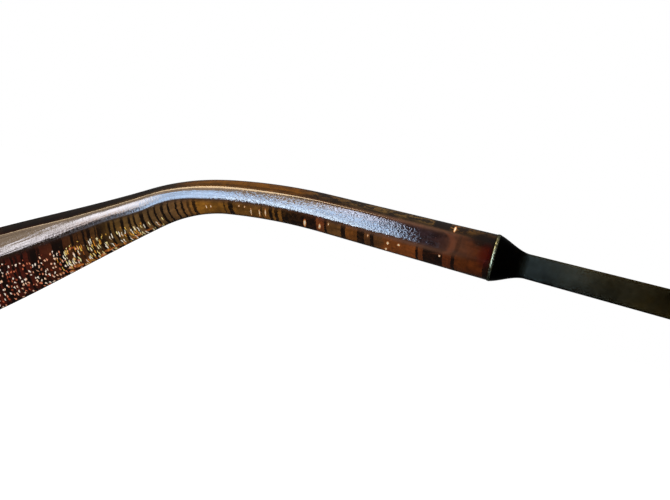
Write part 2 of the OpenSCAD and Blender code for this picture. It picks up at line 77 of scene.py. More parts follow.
SENSOR_WIDTH = 36.0
BROKEN_EDGE = 0.12
SCREW_EDGE = 0.05
WELD_GAP = 0.001
SHARP_TURN = 40

Socket = bpy.types.NodeSocket
Colour = tuple[float, float, float]
Stops = Mapping[float, Colour]
Outline = tuple[tuple[float, float], ...]

WHITE: Colour = (1.0, 1.0, 1.0)
SOFT_WHITE: Colour = (1.0, 0.98, 0.95)

# Outlines of the cards that the sleeve's facet mirrors:
# distance back from the hinge and height, counterclockwise
WINDOW: Outline = (
    (94.0, -17), (97, -20), (100, -20), (103, -4), (127, -4), (127.8, -12.6), (127.3, -24), (129, -24),
    (134.7, -13), (138, -8), (148, 8), (138, 8), (134, 9), (128, 8), (122, 3.5), (115, 4), (108.5, 7),
    (97.2, 7), (95.6, 0.5), (94.0, -6),
)
GLINT: Outline = (
    (100, -20), (101, -30), (104, -60), (115.5, -60), (116.5, -24), (119, -17), (122.5, -14), (127.6, -9),
    (127, -4), (103, -4),
)
LILAC: Outline = ((97.2, 7), (108.5, 7), (107, 42), (101.5, 42), (99.5, 22), (97.6, 11))
BAND: Outline = (
    (138, -8), (140.5, -7.2), (144, -5.8), (147.1, -6.5), (147.4, -9.5), (147.2, -13.5), (147, -17.5),
    (150, -18.5), (155, -18.5), (154.3, -15), (152.8, -11.6), (151.2, -9), (150.9, -6.5), (152.3, -3),
    (153.5, 1), (150, 8), (148, 8),
)
STREAK: Outline = (
    (138, -8), (141.5, -9), (144.5, -10.4), (147.1, -11.8), (147.4, -9.5), (147.1, -6.5), (144, -5.8),
    (140.5, -7.2),
)
WARM_WALL: Outline = (
    (108.5, 7), (115, 4), (122, 3.5), (128, 8), (134, 9), (138, 8), (150, 8), (153.5, 1), (152.3, -3),
    (150.9, -6.5), (151.2, -9), (152.8, -11.6), (154.3, -15), (155, -18.5), (215, -18.5), (215, 50), (112, 50),
    (107, 42),
)
DUSK: Outline = (
    (119, -40), (133, -40), (138, -20), (141, -13), (141.5, -9), (138, -8), (134.7, -13), (129, -24),
    (127.3, -24), (127.8, -12.6), (127.6, -9), (122.5, -14), (119, -17),
)


class Side(Enum):
    """The wearer's side that a piece is on; the value is the sign of its X."""

    LEFT = 1
    RIGHT = -1

    def node(self, base: str) -> str:
        """Returns the name of this side's piece, such as rim_left."""
        return f"{base}_{self.name.lower()}"


class Slot(Enum):
    """The record's material slots."""

    FRAME_METAL = "frame_metal"
    BRIGHT_METAL = "bright_metal"
    LENS_TINT = "lens_tint"
    PAD_SILICONE = "pad_silicone"
    SLEEVE_ACETATE = "sleeve_acetate"


class Lit(Enum):
    """How a lamp shows: only mirrored, or only as plain light."""

    MIRRORED = "mirrored"
    PLAIN = "plain"


def shade(*levels: float) -> Colour:
    """Turns a screen colour into a linear one.

    Args:
        levels: Red, green and blue from 0 to 255.

    Returns:
        The linear colour.
    """
    shares = [level / 255 for level in levels]
    return tuple(share / 12.92 if share <= 0.04045 else ((share + 0.055) / 1.055) ** 2.4 for share in shares)


def mix(a: Any, b: Any, t: Any) -> Any:
    """Returns the value at the share t of the way from a to b."""
    return a + (b - a) * t


def ease(t: Any) -> Any:
    """Returns t held from 0 to 1 and eased with level ends."""
    held = np.clip(t, 0, 1)
    return held * held * (3 - 2 * held)


def hump(place: float, middle: float, reach: float) -> float:
    """Returns 1 in the middle, falling away smoothly over the reach on both sides."""
    return math.exp(-(((place - middle) / reach) ** 2))


def turns(count: int, shift: float = 0.0) -> np.ndarray:
    """Returns evenly spaced angles of a full turn in radians, shifted by a share of a step."""
    return np.radians((np.arange(count) + shift) * 360 / count)


def oval(angle: np.ndarray, half_width: float, half_height: float, squareness: float) -> np.ndarray:
    """Draws a rounded rectangle or ellipse.

    Args:
        angle: Angles of its points in radians.
        half_width: Half its width.
        half_height: Half its height.
        squareness: 2 for an ellipse, more for squarer corners.

    Returns:
        The points as [across, up].
    """
    across, up = np.cos(angle), np.sin(angle)
    power = 2 / squareness
    return np.stack([
        half_width * np.sign(across) * np.abs(across) ** power, half_height * np.sign(up) * np.abs(up) ** power
    ], 1)


def maths(operation: str, reflected: bool = False) -> Callable[..., "Signal"]:
    """Makes a method of Signal that adds a Math node.

    Args:
        operation: The node's operation.
        reflected: Whether the other value comes first.

    Returns:
        The method.
    """

    def method(self: "Signal", other: "Term" = 0.0) -> "Signal":
        """Returns the result for the signal and the other value."""
        terms = {0: other, 1: self} if reflected else {0: self, 1: other}
        return self.recipe.signal(self.recipe.add("ShaderNodeMath", {"operation": operation}, terms), 0)

    return method


@dataclass(frozen=True, eq=False)
class Signal:
    """A number that varies over a surface; arithmetic on it adds Math nodes."""

    recipe: "Recipe"
    socket: Socket

    __add__, __radd__ = maths("ADD"), maths("ADD", reflected=True)
    __sub__, __rsub__ = maths("SUBTRACT"), maths("SUBTRACT", reflected=True)
    __mul__, __rmul__ = maths("MULTIPLY"), maths("MULTIPLY", reflected=True)
    __truediv__, __rtruediv__ = maths("DIVIDE"), maths("DIVIDE", reflected=True)
    __pow__, __abs__ = maths("POWER"), maths("ABSOLUTE")
    most, least, sine = maths("MAXIMUM"), maths("MINIMUM"), maths("SINE")

    def step(self, low: "Term", high: "Term") -> "Signal":
        """Rises smoothly from 0 to 1.

        Args:
            low: Value at which the result is 0.
            high: Value at which the result is 1; below low, the result falls instead.

        Returns:
            The share from 0 to 1.
        """
        node = self.recipe.add(
            "ShaderNodeMapRange",
            {"interpolation_type": "SMOOTHSTEP"},
            {"Value": self, "From Min": low, "From Max": high},
        )
        return self.recipe.signal(node, "Result")

    def within(self, low: float, high: float, soft: float) -> "Signal":
        """Returns 1 between two values and 0 outside, with soft flanks of the given width."""
        return self.step(low - soft, low + soft) * (1 - self.step(high - soft, high + soft))


Term = Union[Signal, float]
Paint = Union[Socket, Colour]
Triple = tuple[float, float, float]


class Recipe:
    """A node tree, with one method that adds any node and short forms for the common ones."""

    def __init__(self, tree: bpy.types.NodeTree) -> None:
        """Takes the tree of a material or a world and empties it."""
        self.tree = tree
        tree.nodes.clear()

    def add(
        self,
        kind: str,
        settings: Mapping[str, Any] | None = None,
        inputs: Mapping[Union[str, int], Any] | None = None,
    ) -> bpy.types.Node:
        """Adds a node.

        Args:
            kind: The node's type.
            settings: Its settings, set first; "stops" gives a ramp's colours by position.
            inputs: A value or a link for each input socket, by name or number.

        Returns:
            The new node.
        """
        node = self.tree.nodes.new(kind)
        for name, value in (settings or {}).items():
            if name == "stops":
                self._set_stops(node.color_ramp, value)
            else:
                setattr(node, name, value)
        for name, value in (inputs or {}).items():
            self._feed(node.inputs[name], value)
        return node

    @staticmethod
    def _set_stops(ramp: bpy.types.ColorRamp, stops: Stops) -> None:
        """Gives a ramp its colours.

        Args:
            ramp: The ramp.
            stops: Linear colours by their positions from 0 to 1.
        """
        places = sorted(stops)
        while len(ramp.elements) < len(places):
            ramp.elements.new(1.0)
        for element, place in zip(ramp.elements, places):
            element.position = place
            element.color = (*stops[place], 1.0)

    def _feed(self, socket: Socket, value: Any) -> None:
        """Sets or links an input socket.

        Args:
            socket: The input socket.
            value: A signal, an output socket, a number, a vector or a colour.
        """
        if isinstance(value, (Signal, Socket)):
            self.tree.links.new(value.socket if isinstance(value, Signal) else value, socket)
        else:
            socket.default_value = (*value, 1.0) if socket.type == "RGBA" else value

    def signal(self, node: bpy.types.Node, output: Union[str, int]) -> Signal:
        """Returns a node's output as a signal."""
        return Signal(self, node.outputs[output])

    def ray(self, kind: str) -> Signal:
        """Returns 1 for rays of one kind, such as Camera, and 0 for the others."""
        return self.signal(self.add("ShaderNodeLightPath"), f"Is {kind} Ray")

    def stored(self, name: str) -> Socket:
        """Returns a vector that the mesh stores at its points under this name."""
        node = self.add("ShaderNodeAttribute", {"attribute_name": name, "attribute_type": "GEOMETRY"})
        return node.outputs["Vector"]

    def place(self) -> Socket:
        """Returns the place on the object in millimetres."""
        return self.stretched(self.add("ShaderNodeTexCoord").outputs["Object"], (1 / MM,) * 3)

    def split(self, vector: Socket) -> tuple[Signal, Signal, Signal]:
        """Returns the three numbers of a vector."""
        node = self.add("ShaderNodeSeparateXYZ", inputs={0: vector})
        return self.signal(node, 0), self.signal(node, 1), self.signal(node, 2)

    def join(self, x: Term, y: Term, z: Term) -> Socket:
        """Returns a vector from three numbers."""
        return self.add("ShaderNodeCombineXYZ", inputs={0: x, 1: y, 2: z}).outputs[0]

    def stretched(self, vector: Paint, by: Union[Paint, Triple]) -> Socket:
        """Returns a vector with its three numbers multiplied by those of another."""
        return self.add("ShaderNodeVectorMath", {"operation": "MULTIPLY"}, {0: vector, 1: by}).outputs["Vector"]

    def noise(self, at: Socket, scale: Union[float, Triple], detail: float = 2.0, rough: float = 0.5) -> Signal:
        """Adds noise through space.

        Args:
            at: Where to read it.
            scale: Features for each unit of the place, in all or in each of its directions.
            detail: Number of finer layers.
            rough: How strong the finer layers are.

        Returns:
            Noise around 0.5.
        """
        if isinstance(scale, tuple):
            at, scale = self.stretched(at, scale), 1.0
        inputs = {"Vector": at, "Scale": scale, "Detail": detail, "Roughness": rough}
        return self.signal(self.add("ShaderNodeTexNoise", inputs=inputs), "Fac")

    def stripes(self, along: Signal, scale: float, detail: float = 2.0) -> Signal:
        """Returns noise that varies only with one number."""
        inputs = {"W": along, "Scale": scale, "Detail": detail}
        return self.signal(self.add("ShaderNodeTexNoise", {"noise_dimensions": "1D"}, inputs), "Fac")

    def cells(self, at: Socket) -> tuple[Signal, Signal, Signal]:
        """Scatters a point for each unit of a plane.

        Args:
            at: Where to read them; its third number is left out.

        Returns:
            The distance from the nearest point, and two random numbers of that point.
        """
        node = self.add("ShaderNodeTexVoronoi", {"voronoi_dimensions": "2D"}, {"Vector": at, "Scale": 1.0})
        chance, tone, _ = self.split(node.outputs["Color"])
        return self.signal(node, "Distance"), chance, tone

    def ramp(self, factor: Signal, stops: Stops) -> Socket:
        """Returns the colour of a ramp at a share from 0 to 1."""
        return self.add("ShaderNodeValToRGB", {"stops": stops}, {"Fac": factor}).outputs["Color"]

    def inside(self, factor: Signal, spans: Sequence[tuple[float, float]]) -> Signal:
        """Tells spans apart from the gaps between them.

        Args:
            factor: A number from 0 to 1.
            spans: Starts and ends of at most 15 spans.

        Returns:
            1 where the factor lies in one of the spans, and 0 elsewhere.
        """
        stops = {0.0: (0.0, 0.0, 0.0)}
        for start, end in spans:
            stops[start], stops[end] = WHITE, (0.0, 0.0, 0.0)
        node = self.add("ShaderNodeValToRGB", {"stops": stops}, {"Fac": factor})
        node.color_ramp.interpolation = "CONSTANT"
        return self.split(node.outputs["Color"])[0]

    def blend(self, a: Paint, b: Paint, share: Term, how: str = "MIX") -> Socket:
        """Mixes two colours.

        Args:
            a: The colour under the mix.
            b: The colour laid over it.
            share: How much of b shows.
            how: The way of mixing.

        Returns:
            The mixed colour.
        """
        settings = {"data_type": "RGBA", "blend_type": how}
        return self.add("ShaderNodeMix", settings, {0: share, 6: a, 7: b}).outputs[2]

    def dim(self, colour: Paint, level: Term) -> Socket:
        """Returns a colour multiplied by a level."""
        return self.stretched(colour, self.join(level, level, level))

    def bumps(self, height: Signal, depth: float) -> Socket:
        """Returns normals for a height from 0 to 1 that stands for a depth in millimetres."""
        node = self.add("ShaderNodeBump", inputs={"Height": height, "Strength": 1.0, "Distance": depth * MM})
        return node.outputs["Normal"]


def new_material(name: str) -> tuple[bpy.types.Material, Recipe]:
    """Returns a new material with an empty recipe."""
    material = bpy.data.materials.new(name)
    material.use_nodes = True
    return material, Recipe(material.node_tree)


@dataclass(frozen=True)
class Finish:
    """A material; each kind says what its Principled shader gets."""

    name: str

    def sockets(self, nodes: Recipe) -> Mapping[str, Any]:
        """Returns values or links by the names of the shader's inputs."""
        raise NotImplementedError(self.name)

    def make(self) -> bpy.types.Material:
        """Builds the material.

        Returns:
            The material.
        """
        material, nodes = new_material(self.name)
        shader = nodes.add("ShaderNodeBsdfPrincipled", inputs=self.sockets(nodes))
        nodes.add("ShaderNodeOutputMaterial", inputs={"Surface": shader.outputs[0]})
        LOG.info("finish %s: %d nodes", self.name, len(nodes.tree.nodes))
        return material


@dataclass(frozen=True)
class SleevePlace:
    """Where a point of the sleeve is: its millimetres, its height from -1 to 1, and its shares of the zones."""

    nodes: Recipe
    mm: Socket
    along: Signal
    up: Signal
    girth: Signal
    height: Signal
    facet: Signal
    top: Signal
    across: Signal

    @classmethod
    def read(cls, nodes: Recipe, bow: float, bow_at: float) -> "SleevePlace":
        """Reads the values that the sleeve's mesh stores.

        Args:
            nodes: The recipe.
            bow: How far the bands bow along the sleeve, in millimetres.
            bow_at: Height at which they reach furthest forward.

        Returns:
            The place; its across follows the bowed and ragged bands.
        """
        mm = nodes.stored("sleeve_mm")
        along, up, _ = nodes.split(mm)
        girth, _, _ = nodes.split(nodes.stored("round_mm"))
        height, facet, head_side = nodes.split(nodes.stored("zone"))
        top = height.step(0.50, 0.60) * head_side * (1 - facet)
        from_bow = height.least(0.0) - bow_at
        ragged = (nodes.noise(mm, (1.3, 3.9, 3.9), 4.0, 0.65) - 0.5) * 0.30
        return cls(nodes, mm, along, up, girth, height, facet, top, along + from_bow * from_bow * bow + ragged)

    def noise(self, scale: Union[float, Triple], detail: float = 2.0, rough: float = 0.5) -> Signal:
        """Returns noise through the straightened sleeve."""
        return self.nodes.noise(self.mm, scale, detail, rough)


@dataclass(frozen=True)
class Flecks:
    """One kind of metal flecks on the paddle.

    It holds the cells for each millimetre along and round the sleeve, the places along it where the flecks
    start, are in full, begin to fade and are gone, how many cells have one, its radius, and screen colours.
    """

    cells_per_mm: tuple[float, float]
    start: float
    full: float
    fading: float
    gone: float
    density: float
    radius: float
    screen_tints: tuple[Colour, ...]

    def lay(self, colour: Paint, at: SleevePlace, shaken: Paint, room: Signal) -> Socket:
        """Scatters the flecks.

        Args:
            colour: The colour under them.
            at: Place on the sleeve.
            shaken: Random shift that makes their rows uneven.
            room: How dense they may be, from 0 to 1.

        Returns:
            The colour with flecks.
        """
        nodes = at.nodes
        along, around = self.cells_per_mm
        rows = nodes.join(at.across * along, at.girth * around, 0.0)
        distance, chance, tone = nodes.cells(nodes.blend(rows, shaken, 0.9, "ADD"))
        place = at.along.step(self.start, self.full) * at.along.step(self.gone, self.fading)
        dense = place * self.density * room
        shown = distance.step(self.radius, self.radius / 2) * chance.step(1.0 - dense, 1.01 - dense)
        tint = nodes.ramp(tone, {0.2 * n: shade(*tint) for n, tint in enumerate(self.screen_tints)})
        return nodes.blend(colour, tint, shown * (1 - at.facet))


@dataclass(frozen=True)
class SleeveAcetate(Finish):
    """Polished brown laminate with dark bands across it and metal flecks in it.

    The mesh stores "sleeve_mm", the place along, up and inwards on the straightened sleeve, "round_mm",
    the way round its section, and "zone", the height from -1 to 1, the share of facet and of head side.
    """

    name: str = Slot.SLEEVE_ACETATE.value
    length: float = 76.0
    bow: float = 0.9
    bow_at: float = -0.5
    arc_pitch: float = 0.75
    scratch_depth: float = 0.0042
    dark: Colour = shade(16, 7, 4)
    banded_length: float = 31.5
    dark_spans: tuple[tuple[float, float], ...] = (
        (0.01, 0.6), (3.4, 3.8), (4.6, 6.6), (7.05, 7.35), (11.65, 11.95), (12.6, 13.4), (14.6, 15.1),
        (16.6, 16.8), (17.6, 21.3), (21.7, 22.1), (22.35, 22.7), (23.4, 23.55), (26.55, 27.05), (27.35, 27.5),
        (30.6, 30.95),
    )
    placed_flecks: tuple[tuple[float, float, float, float], ...] = (
        (18.9, -0.75, 0.13, 0.16), (17.3, -0.73, 0.11, 0.12), (16.4, -0.52, 0.07, 0.05),
        (12.3, -0.52, 0.07, 0.05), (10.2, -0.62, 0.12, 0.07), (10.3, -0.90, 0.12, 0.05),
        (9.1, -0.57, 0.15, 0.05), (4.95, -0.55, 0.08, 0.05), (29.5, -0.62, 0.06, 0.09),
        (29.0, -0.62, 0.05, 0.09), (25.9, -0.50, 0.09, 0.05), (25.3, -0.50, 0.06, 0.05),
        (24.65, -0.72, 0.05, 0.18), (23.75, -0.72, 0.06, 0.18), (23.1, -0.65, 0.07, 0.19),
        (4.15, 0.76, 0.10, 0.12),
    )
    scattered: tuple[Flecks, ...] = (
        Flecks((3.3, 2.2), 43.0, 47.0, 80.0, 90.0, 0.78, 0.32, (
            (120, 42, 20), (200, 98, 64), (240, 158, 120), (255, 208, 172), (255, 240, 224)
        )),
        Flecks((5.2, 1.15), 33.0, 38.0, 44.0, 48.5, 0.74, 0.36, (
            (170, 88, 30), (222, 150, 54), (250, 206, 98), (255, 238, 164), (255, 244, 224)
        )),
    )

    def sockets(self, nodes: Recipe) -> Mapping[str, Any]:
        """Lays the bands, the glow, the edges' painted shade and the flecks over the laminate.

        Args:
            nodes: The recipe.

        Returns:
            Values or links by the names of the shader's inputs.
        """
        at = SleevePlace.read(nodes, self.bow, self.bow_at)
        colour = nodes.blend(self.body(at), self.dark, self.bands(at))
        colour = self.glow(colour, at)
        # Painted shade: the section's top and bottom edges are darkened.
        edge = abs(at.height).step(0.90, 1.0)
        colour = nodes.blend(colour, shade(22, 13, 8), edge * 0.8)
        colour = self.front_flecks(self.paddle_flecks(colour, at), at)
        rough = 0.05 + at.noise(2.2, 3.0).step(0.45, 0.75) * 0.07
        normal = nodes.bumps(self.relief(at), self.scratch_depth)
        return {"Base Color": colour, "Roughness": rough, "IOR": 1.5, "Normal": normal}

    def toned(self, at: SleevePlace, place: Signal, tones: Mapping[float, Colour]) -> Socket:
        """Colours the sleeve along its length.

        Args:
            at: Place on the sleeve.
            place: Distance along it.
            tones: Screen colours by millimetre along the sleeve.

        Returns:
            The colour.
        """
        stops = {mm / self.length: shade(*tone) for mm, tone in tones.items()}
        return at.nodes.ramp(place / self.length, stops)

    @staticmethod
    def relief(at: SleevePlace) -> Signal:
        """Adds up the fine scratches, the crackled and streaked parts of the facet, and the soft waves.

        Args:
            at: Place on the sleeve.

        Returns:
            The height, in which 1 is a full scratch.
        """
        scratch = at.noise((6.0, 2.4, 2.4), 3.0, 0.6) * (0.3 + at.facet * 0.5)
        veins = abs(at.noise((2.0, 2.6, 2.6), 2.0, 0.6) - 0.5).step(0.11, 0.0)
        crackle = veins * at.height.step(0.52, 0.34) * (at.along.within(8.0, 27.0, 2.4) * 0.95 + 0.05)
        streaks = at.noise((0.2, 5.0, 5.0)) * at.along.step(36.0, 44.0)
        return scratch + (crackle + streaks * 1.4) * at.facet + at.noise(0.9, 1.0) * 0.8

    def body(self, at: SleevePlace) -> Socket:
        """Colours the laminate between its bands: its lower part, its top bevel and its facet.

        Args:
            at: Place on the sleeve.

        Returns:
            The colour.
        """
        nodes = at.nodes
        place = at.along + (at.noise(1.5, 3.0) - 0.5) * 1.2
        low = self.toned(at, place, {
            0: (44, 18, 6), 1: (72, 30, 6), 3: (80, 38, 10), 4.2: (84, 38, 14), 6.9: (92, 48, 22),
            7.4: (118, 62, 24), 10.6: (116, 63, 24), 10.9: (92, 58, 28), 12.4: (88, 54, 28),
            13.5: (116, 68, 24), 14.6: (114, 66, 24), 15.2: (100, 66, 32), 16.5: (98, 64, 30),
            17: (112, 56, 28), 21.5: (116, 76, 28), 25: (106, 70, 26), 28: (118, 78, 26),
            30.3: (142, 94, 30), 31.5: (112, 76, 38), 34: (98, 72, 44), 38: (100, 74, 40), 40: (92, 66, 30),
            42: (70, 44, 20), 46.5: (60, 27, 13), 50: (62, 20, 12), 57: (62, 18, 8), 64: (104, 66, 24),
            70: (84, 38, 14), 76: (52, 24, 12),
        })
        high = self.toned(at, place, {
            0: (40, 24, 8), 2: (70, 46, 14), 4.5: (104, 68, 24), 7: (88, 64, 28), 12: (92, 68, 32),
            18: (88, 60, 24), 20: (98, 57, 4), 28: (100, 60, 4), 31: (90, 52, 5), 32.5: (40, 26, 10),
            35: (24, 13, 6), 50: (20, 11, 5), 62: (62, 38, 18), 76: (36, 20, 10),
        })
        flat = self.toned(at, place, {
            0: (36, 12, 6), 1.6: (56, 26, 18), 2.6: (68, 34, 20), 3.6: (72, 39, 24), 4.3: (70, 42, 32),
            6: (50, 34, 36), 11: (46, 34, 40), 18: (60, 48, 50), 30: (64, 48, 42), 40: (42, 32, 26),
            50: (38, 26, 18), 76: (44, 24, 16),
        })
        # Painted shadow: a darker band on the top bevel just under its ridge with the facet.
        ridge = at.along.step(28.0, 35.0) * 0.12 + 0.56
        painted_ridge_shadow = (at.height - ridge).within(0.03, 0.13, 0.05) * at.top * 0.5
        colour = nodes.blend(nodes.blend(low, nodes.dim(high, 1 - painted_ridge_shadow), at.top), flat, at.facet)
        lines = nodes.stripes(at.across, 2.6, 3.0) * (1 - at.facet)
        level = 0.15 + at.noise((0.7, 3.2, 3.2), 3.0) * 0.8 + at.noise((5.0, 1.8, 1.8)) * 0.6 + lines * 0.6
        cloud = at.noise((0.9, 1.5, 1.5), 3.0, 0.6).step(0.32, 0.66)
        return nodes.dim(colour, level * (0.72 + cloud * 0.5))

    def bands(self, at: SleevePlace) -> Signal:
        """Lays uneven dark bands across the sleeve, and dark blots on its upper bevel.

        Args:
            at: Place on the sleeve.

        Returns:
            How dark each place is, from 0 to 1.
        """
        nodes, across, side = at.nodes, at.across, 1 - at.top
        spans = [(start / self.banded_length, end / self.banded_length) for start, end in self.dark_spans]
        laid = nodes.inside(across / self.banded_length, spans) * side * across.step(self.banded_length, 31.0)
        laid = laid * (0.84 + at.noise(2.6).step(0.35, 0.6) * 0.16)
        wide = nodes.stripes(across + 7.0, 0.8).step(0.50, 0.55)
        thin = nodes.stripes(across + 31.0, 2.0, 1.0).step(0.60, 0.64) * 0.8
        paddle = wide.most(thin) * across.step(39.5, 42.0) * side
        arcs = (across * (2 * math.pi / self.arc_pitch) + nodes.stripes(across, 0.9) * 5.0).sine()
        arcs = arcs.step(0.35, 0.75) * at.along.within(31.2, 41.0, 0.8) * side
        blots = at.noise((1.0, 1.9, 1.9), 3.0, 0.65).step(0.49, 0.56) * 0.92
        lower_row = at.height.step(0.80, 0.72) * (0.45 + at.noise(0.7, 1.0).step(0.35, 0.6) * 0.35)
        front = blots.most(lower_row).most(thin * 0.7) * at.top * at.along.step(20.5, 18.5)
        cluster = at.top * across.within(4.85, 6.5, 0.1)
        return laid.most(front).most(paddle).most(arcs).most(cluster) * (1 - at.facet * 0.85) * 0.97

    @staticmethod
    def glow(colour: Paint, at: SleevePlace) -> Socket:
        """Adds the red glow and the dark patch beside the collar, and a soft painted highlight round the facet.

        Args:
            colour: The colour so far.
            at: Place on the sleeve.

        Returns:
            The colour with the glow.
        """
        nodes, along, up = at.nodes, at.along, at.up
        dark_at = (along - 1.0) * (along - 1.0) * 0.35 + (up - 1.25) * (up - 1.25) * 2.2
        colour = nodes.blend(colour, shade(22, 13, 9), dark_at.step(1.3, 0.2) * 0.92)
        red_at = (along - 0.6) * (along - 0.6) + (up + 0.1) * (up + 0.1) * 0.45
        colour = nodes.blend(colour, shade(64, 6, 3), red_at.step(1.0, -0.3) * 0.9)
        bent = ((up - 0.1) / 1.05) ** 4.0
        wander = (at.noise(1.8) - 0.5) * 0.5
        line = abs(along - 4.0 - bent * 0.8 + wander).step(0.5, 0.0) * up.within(-1.1, 1.2, 0.3)
        colour = nodes.blend(colour, shade(130, 72, 46), line * 0.4)
        # Painted highlight: a lighter band along both edges of the facet near the front of the sleeve.
        border = at.facet * (1 - at.facet) * 4.0 * along.within(4.0, 14.0, 4.0)
        return nodes.blend(colour, shade(112, 80, 62), border * 0.55)

    def paddle_flecks(self, colour: Paint, at: SleevePlace) -> Socket:
        """Scatters gold and copper flecks over the paddle, drawn out along the bands, and denser low down.

        Args:
            colour: The colour so far.
            at: Place on the sleeve.

        Returns:
            The colour with flecks and with painted copper glints along the lower edge.
        """
        nodes = at.nodes
        shaken = nodes.add("ShaderNodeTexNoise", inputs={"Vector": at.mm, "Scale": 3.0, "Detail": 1.0})
        reach = (at.along * 0.08 - 3.45).least(at.along * 0.024 - 1.29).least(0.04)
        low_down = (at.height - reach).step(0.10, -0.12)
        sparse = at.noise(0.35, 2.0, 0.6).step(0.42, 0.60)
        room = low_down * (1 - at.along.step(50.0, 55.0) * (1 - sparse * 0.85))
        for flecks in self.scattered:
            colour = flecks.lay(colour, at, shaken.outputs["Color"], room)
        # Painted highlight: copper glints along the lower edge between 35.5 and 47 mm, standing in for light
        # shining through it.
        painted_copper_glints = at.noise((1.4, 4.0, 4.0)).step(0.50, 0.62)
        rim = at.height.step(-0.80, -0.92) * at.along.within(35.5, 47.0, 1.0)
        return nodes.blend(colour, shade(214, 124, 56), painted_copper_glints * rim * 0.8)

    def front_flecks(self, colour: Paint, at: SleevePlace) -> Socket:
        """Sets the few larger flecks in front of the paddle, pale in the middle and copper at the edge.

        Args:
            colour: The colour so far.
            at: Place on the sleeve.

        Returns:
            The colour with flecks.
        """
        shift = (at.noise(7.0, 1.0) - 0.5) * 0.12
        along, height = at.along + shift, at.height + shift * 0.8

        def reach(place: float, level: float, half_width: float, half_height: float) -> Signal:
            """Returns 0 in the middle of a fleck, 1 at its edge and more outside it."""
            aside, above = (along - place) / half_width, (height - level) / half_height
            return aside * aside + above * above

        nearest = reduce(Signal.least, (reach(*fleck) for fleck in self.placed_flecks))
        tint = at.nodes.ramp(nearest / 2.0, {
            0.0: (1.0, 0.94, 0.82), 0.25: shade(255, 214, 150), 0.6: shade(196, 100, 48),
            1.0: shade(120, 50, 24),
        })
        return at.nodes.blend(colour, tint, nearest.step(2.0, 1.0))


@dataclass(frozen=True)
class GunmetalPatina(Finish):
    """Dark satin metal with a brown patina.

    On a temple the mesh stores "strip", the distance back from the hinge, the share of flare and the
    share of lip.
    """

    name: str = Slot.FRAME_METAL.value
    has_strip: bool = False
    patina_scale: float = 0.22
    brushing_depth: float = 0.0006

    def sockets(self, nodes: Recipe) -> Mapping[str, Any]:
        """Patches grey metal with olive, and on a temple adds its brown end, dark flare and bright lip.

        Args:
            nodes: The recipe.

        Returns:
            Values or links by the names of the shader's inputs.
        """
        place = nodes.place()
        grain = nodes.noise(place, 2.5, 4.0, 0.7)
        olive = nodes.noise(place, self.patina_scale, 4.0, 0.6).step(0.42, 0.62)
        colour = nodes.blend(shade(76, 80, 82), shade(72, 65, 48), olive)
        if self.has_strip:
            back, flare, lip = nodes.split(nodes.stored("strip"))
            brown = back.step(66.0, 52.0)
            colour = nodes.blend(shade(41, 47, 45), shade(50, 42, 20), brown * 0.8 + olive * 0.2)
            # Painted shade: the flare is made near-black, standing in for the dark surroundings that it
            # mirrors.
            colour = nodes.blend(colour, shade(10, 10, 9), flare)
            colour = nodes.dim(colour, nodes.noise(place, 0.32, 3.0, 0.6) * 2.4 - 0.2)
            # Wear and painted highlight: the lip's bead is painted patchily bright, partly worn metal and
            # partly a highlight on the bead.
            wear_and_painted_highlight = lip * nodes.noise(place, 6.0, 3.0).step(0.30, 0.60)
            colour = nodes.blend(colour, shade(122, 128, 108), wear_and_painted_highlight)
        speckle = nodes.noise(place, 9.0).step(0.66, 0.74)
        brushing = nodes.noise(place, (9.0, 0.8, 9.0), 3.0)
        return {
            "Base Color": nodes.blend(colour, shade(26, 22, 16), speckle * 0.5),
            "Metallic": 1.0,
            "Roughness": 0.30 + grain * 0.14 + olive * 0.06,
            "Normal": nodes.bumps(brushing + grain * 0.5, self.brushing_depth),
        }


@dataclass(frozen=True)
class BrightMetal(Finish):
    """Turned and polished metal of the screws and the pads' plates."""

    name: str = Slot.BRIGHT_METAL.value
    grain_depth: float = 0.0008

    def sockets(self, nodes: Recipe) -> Mapping[str, Any]:
        """Stains the metal and roughens it with a fine grain.

        Args:
            nodes: The recipe.

        Returns:
            Values or links by the names of the shader's inputs.
        """
        place = nodes.place()
        grain = nodes.noise(place, 7.0, 3.0, 0.6)
        stain = nodes.noise(place, 1.2, 3.0).step(0.5, 0.7)
        return {
            "Base Color": nodes.blend(shade(196, 192, 178), shade(150, 140, 116), stain),
            "Metallic": 1.0,
            "Roughness": 0.2 + grain * 0.2,
            "Normal": nodes.bumps(grain, self.grain_depth),
        }


@dataclass(frozen=True)
class TintedLens(Finish):
    """Brown lens, darker at the top, with faint wiping marks."""

    name: str = Slot.LENS_TINT.value
    top: float = 52.0

    def sockets(self, nodes: Recipe) -> Mapping[str, Any]:
        """Grades the tint by height and smudges the polish.

        Args:
            nodes: The recipe.

        Returns:
            Values or links by the names of the shader's inputs.
        """
        place = nodes.place()
        smear = nodes.noise(place, 0.12, 4.0, 0.6)
        level = nodes.split(place)[2] / self.top + (smear - 0.5) * 0.05
        tints = {0.05: shade(150, 118, 84), 0.5: shade(112, 82, 56), 0.95: shade(82, 58, 40)}
        return {
            "Base Color": nodes.ramp(level, tints),
            "Roughness": smear.step(0.5, 0.8) * 0.03,
            "Transmission Weight": 1.0,
            "IOR": 1.5,
        }


@dataclass(frozen=True)
class PadSilicone(Finish):
    """Clear soft silicone, slightly yellowed and matt where it touches skin."""

    name: str = Slot.PAD_SILICONE.value
    grain_depth: float = 0.003

    def sockets(self, nodes: Recipe) -> Mapping[str, Any]:
        """Clouds the silicone and gives it a fine grain.

        Args:
            nodes: The recipe.

        Returns:
            Values or links by the names of the shader's inputs.
        """
        place = nodes.place()
        cloud = nodes.noise(place, 0.5, 3.0, 0.6)
        return {
            "Base Color": nodes.blend(shade(246, 243, 232), shade(236, 222, 190), cloud.step(0.4, 0.7)),
            "Roughness": 0.14 + cloud * 0.16,
            "Transmission Weight": 0.85,
            "IOR": 1.41,
            "Normal": nodes.bumps(nodes.noise(place, 3.0, 3.0), self.grain_depth),
        }


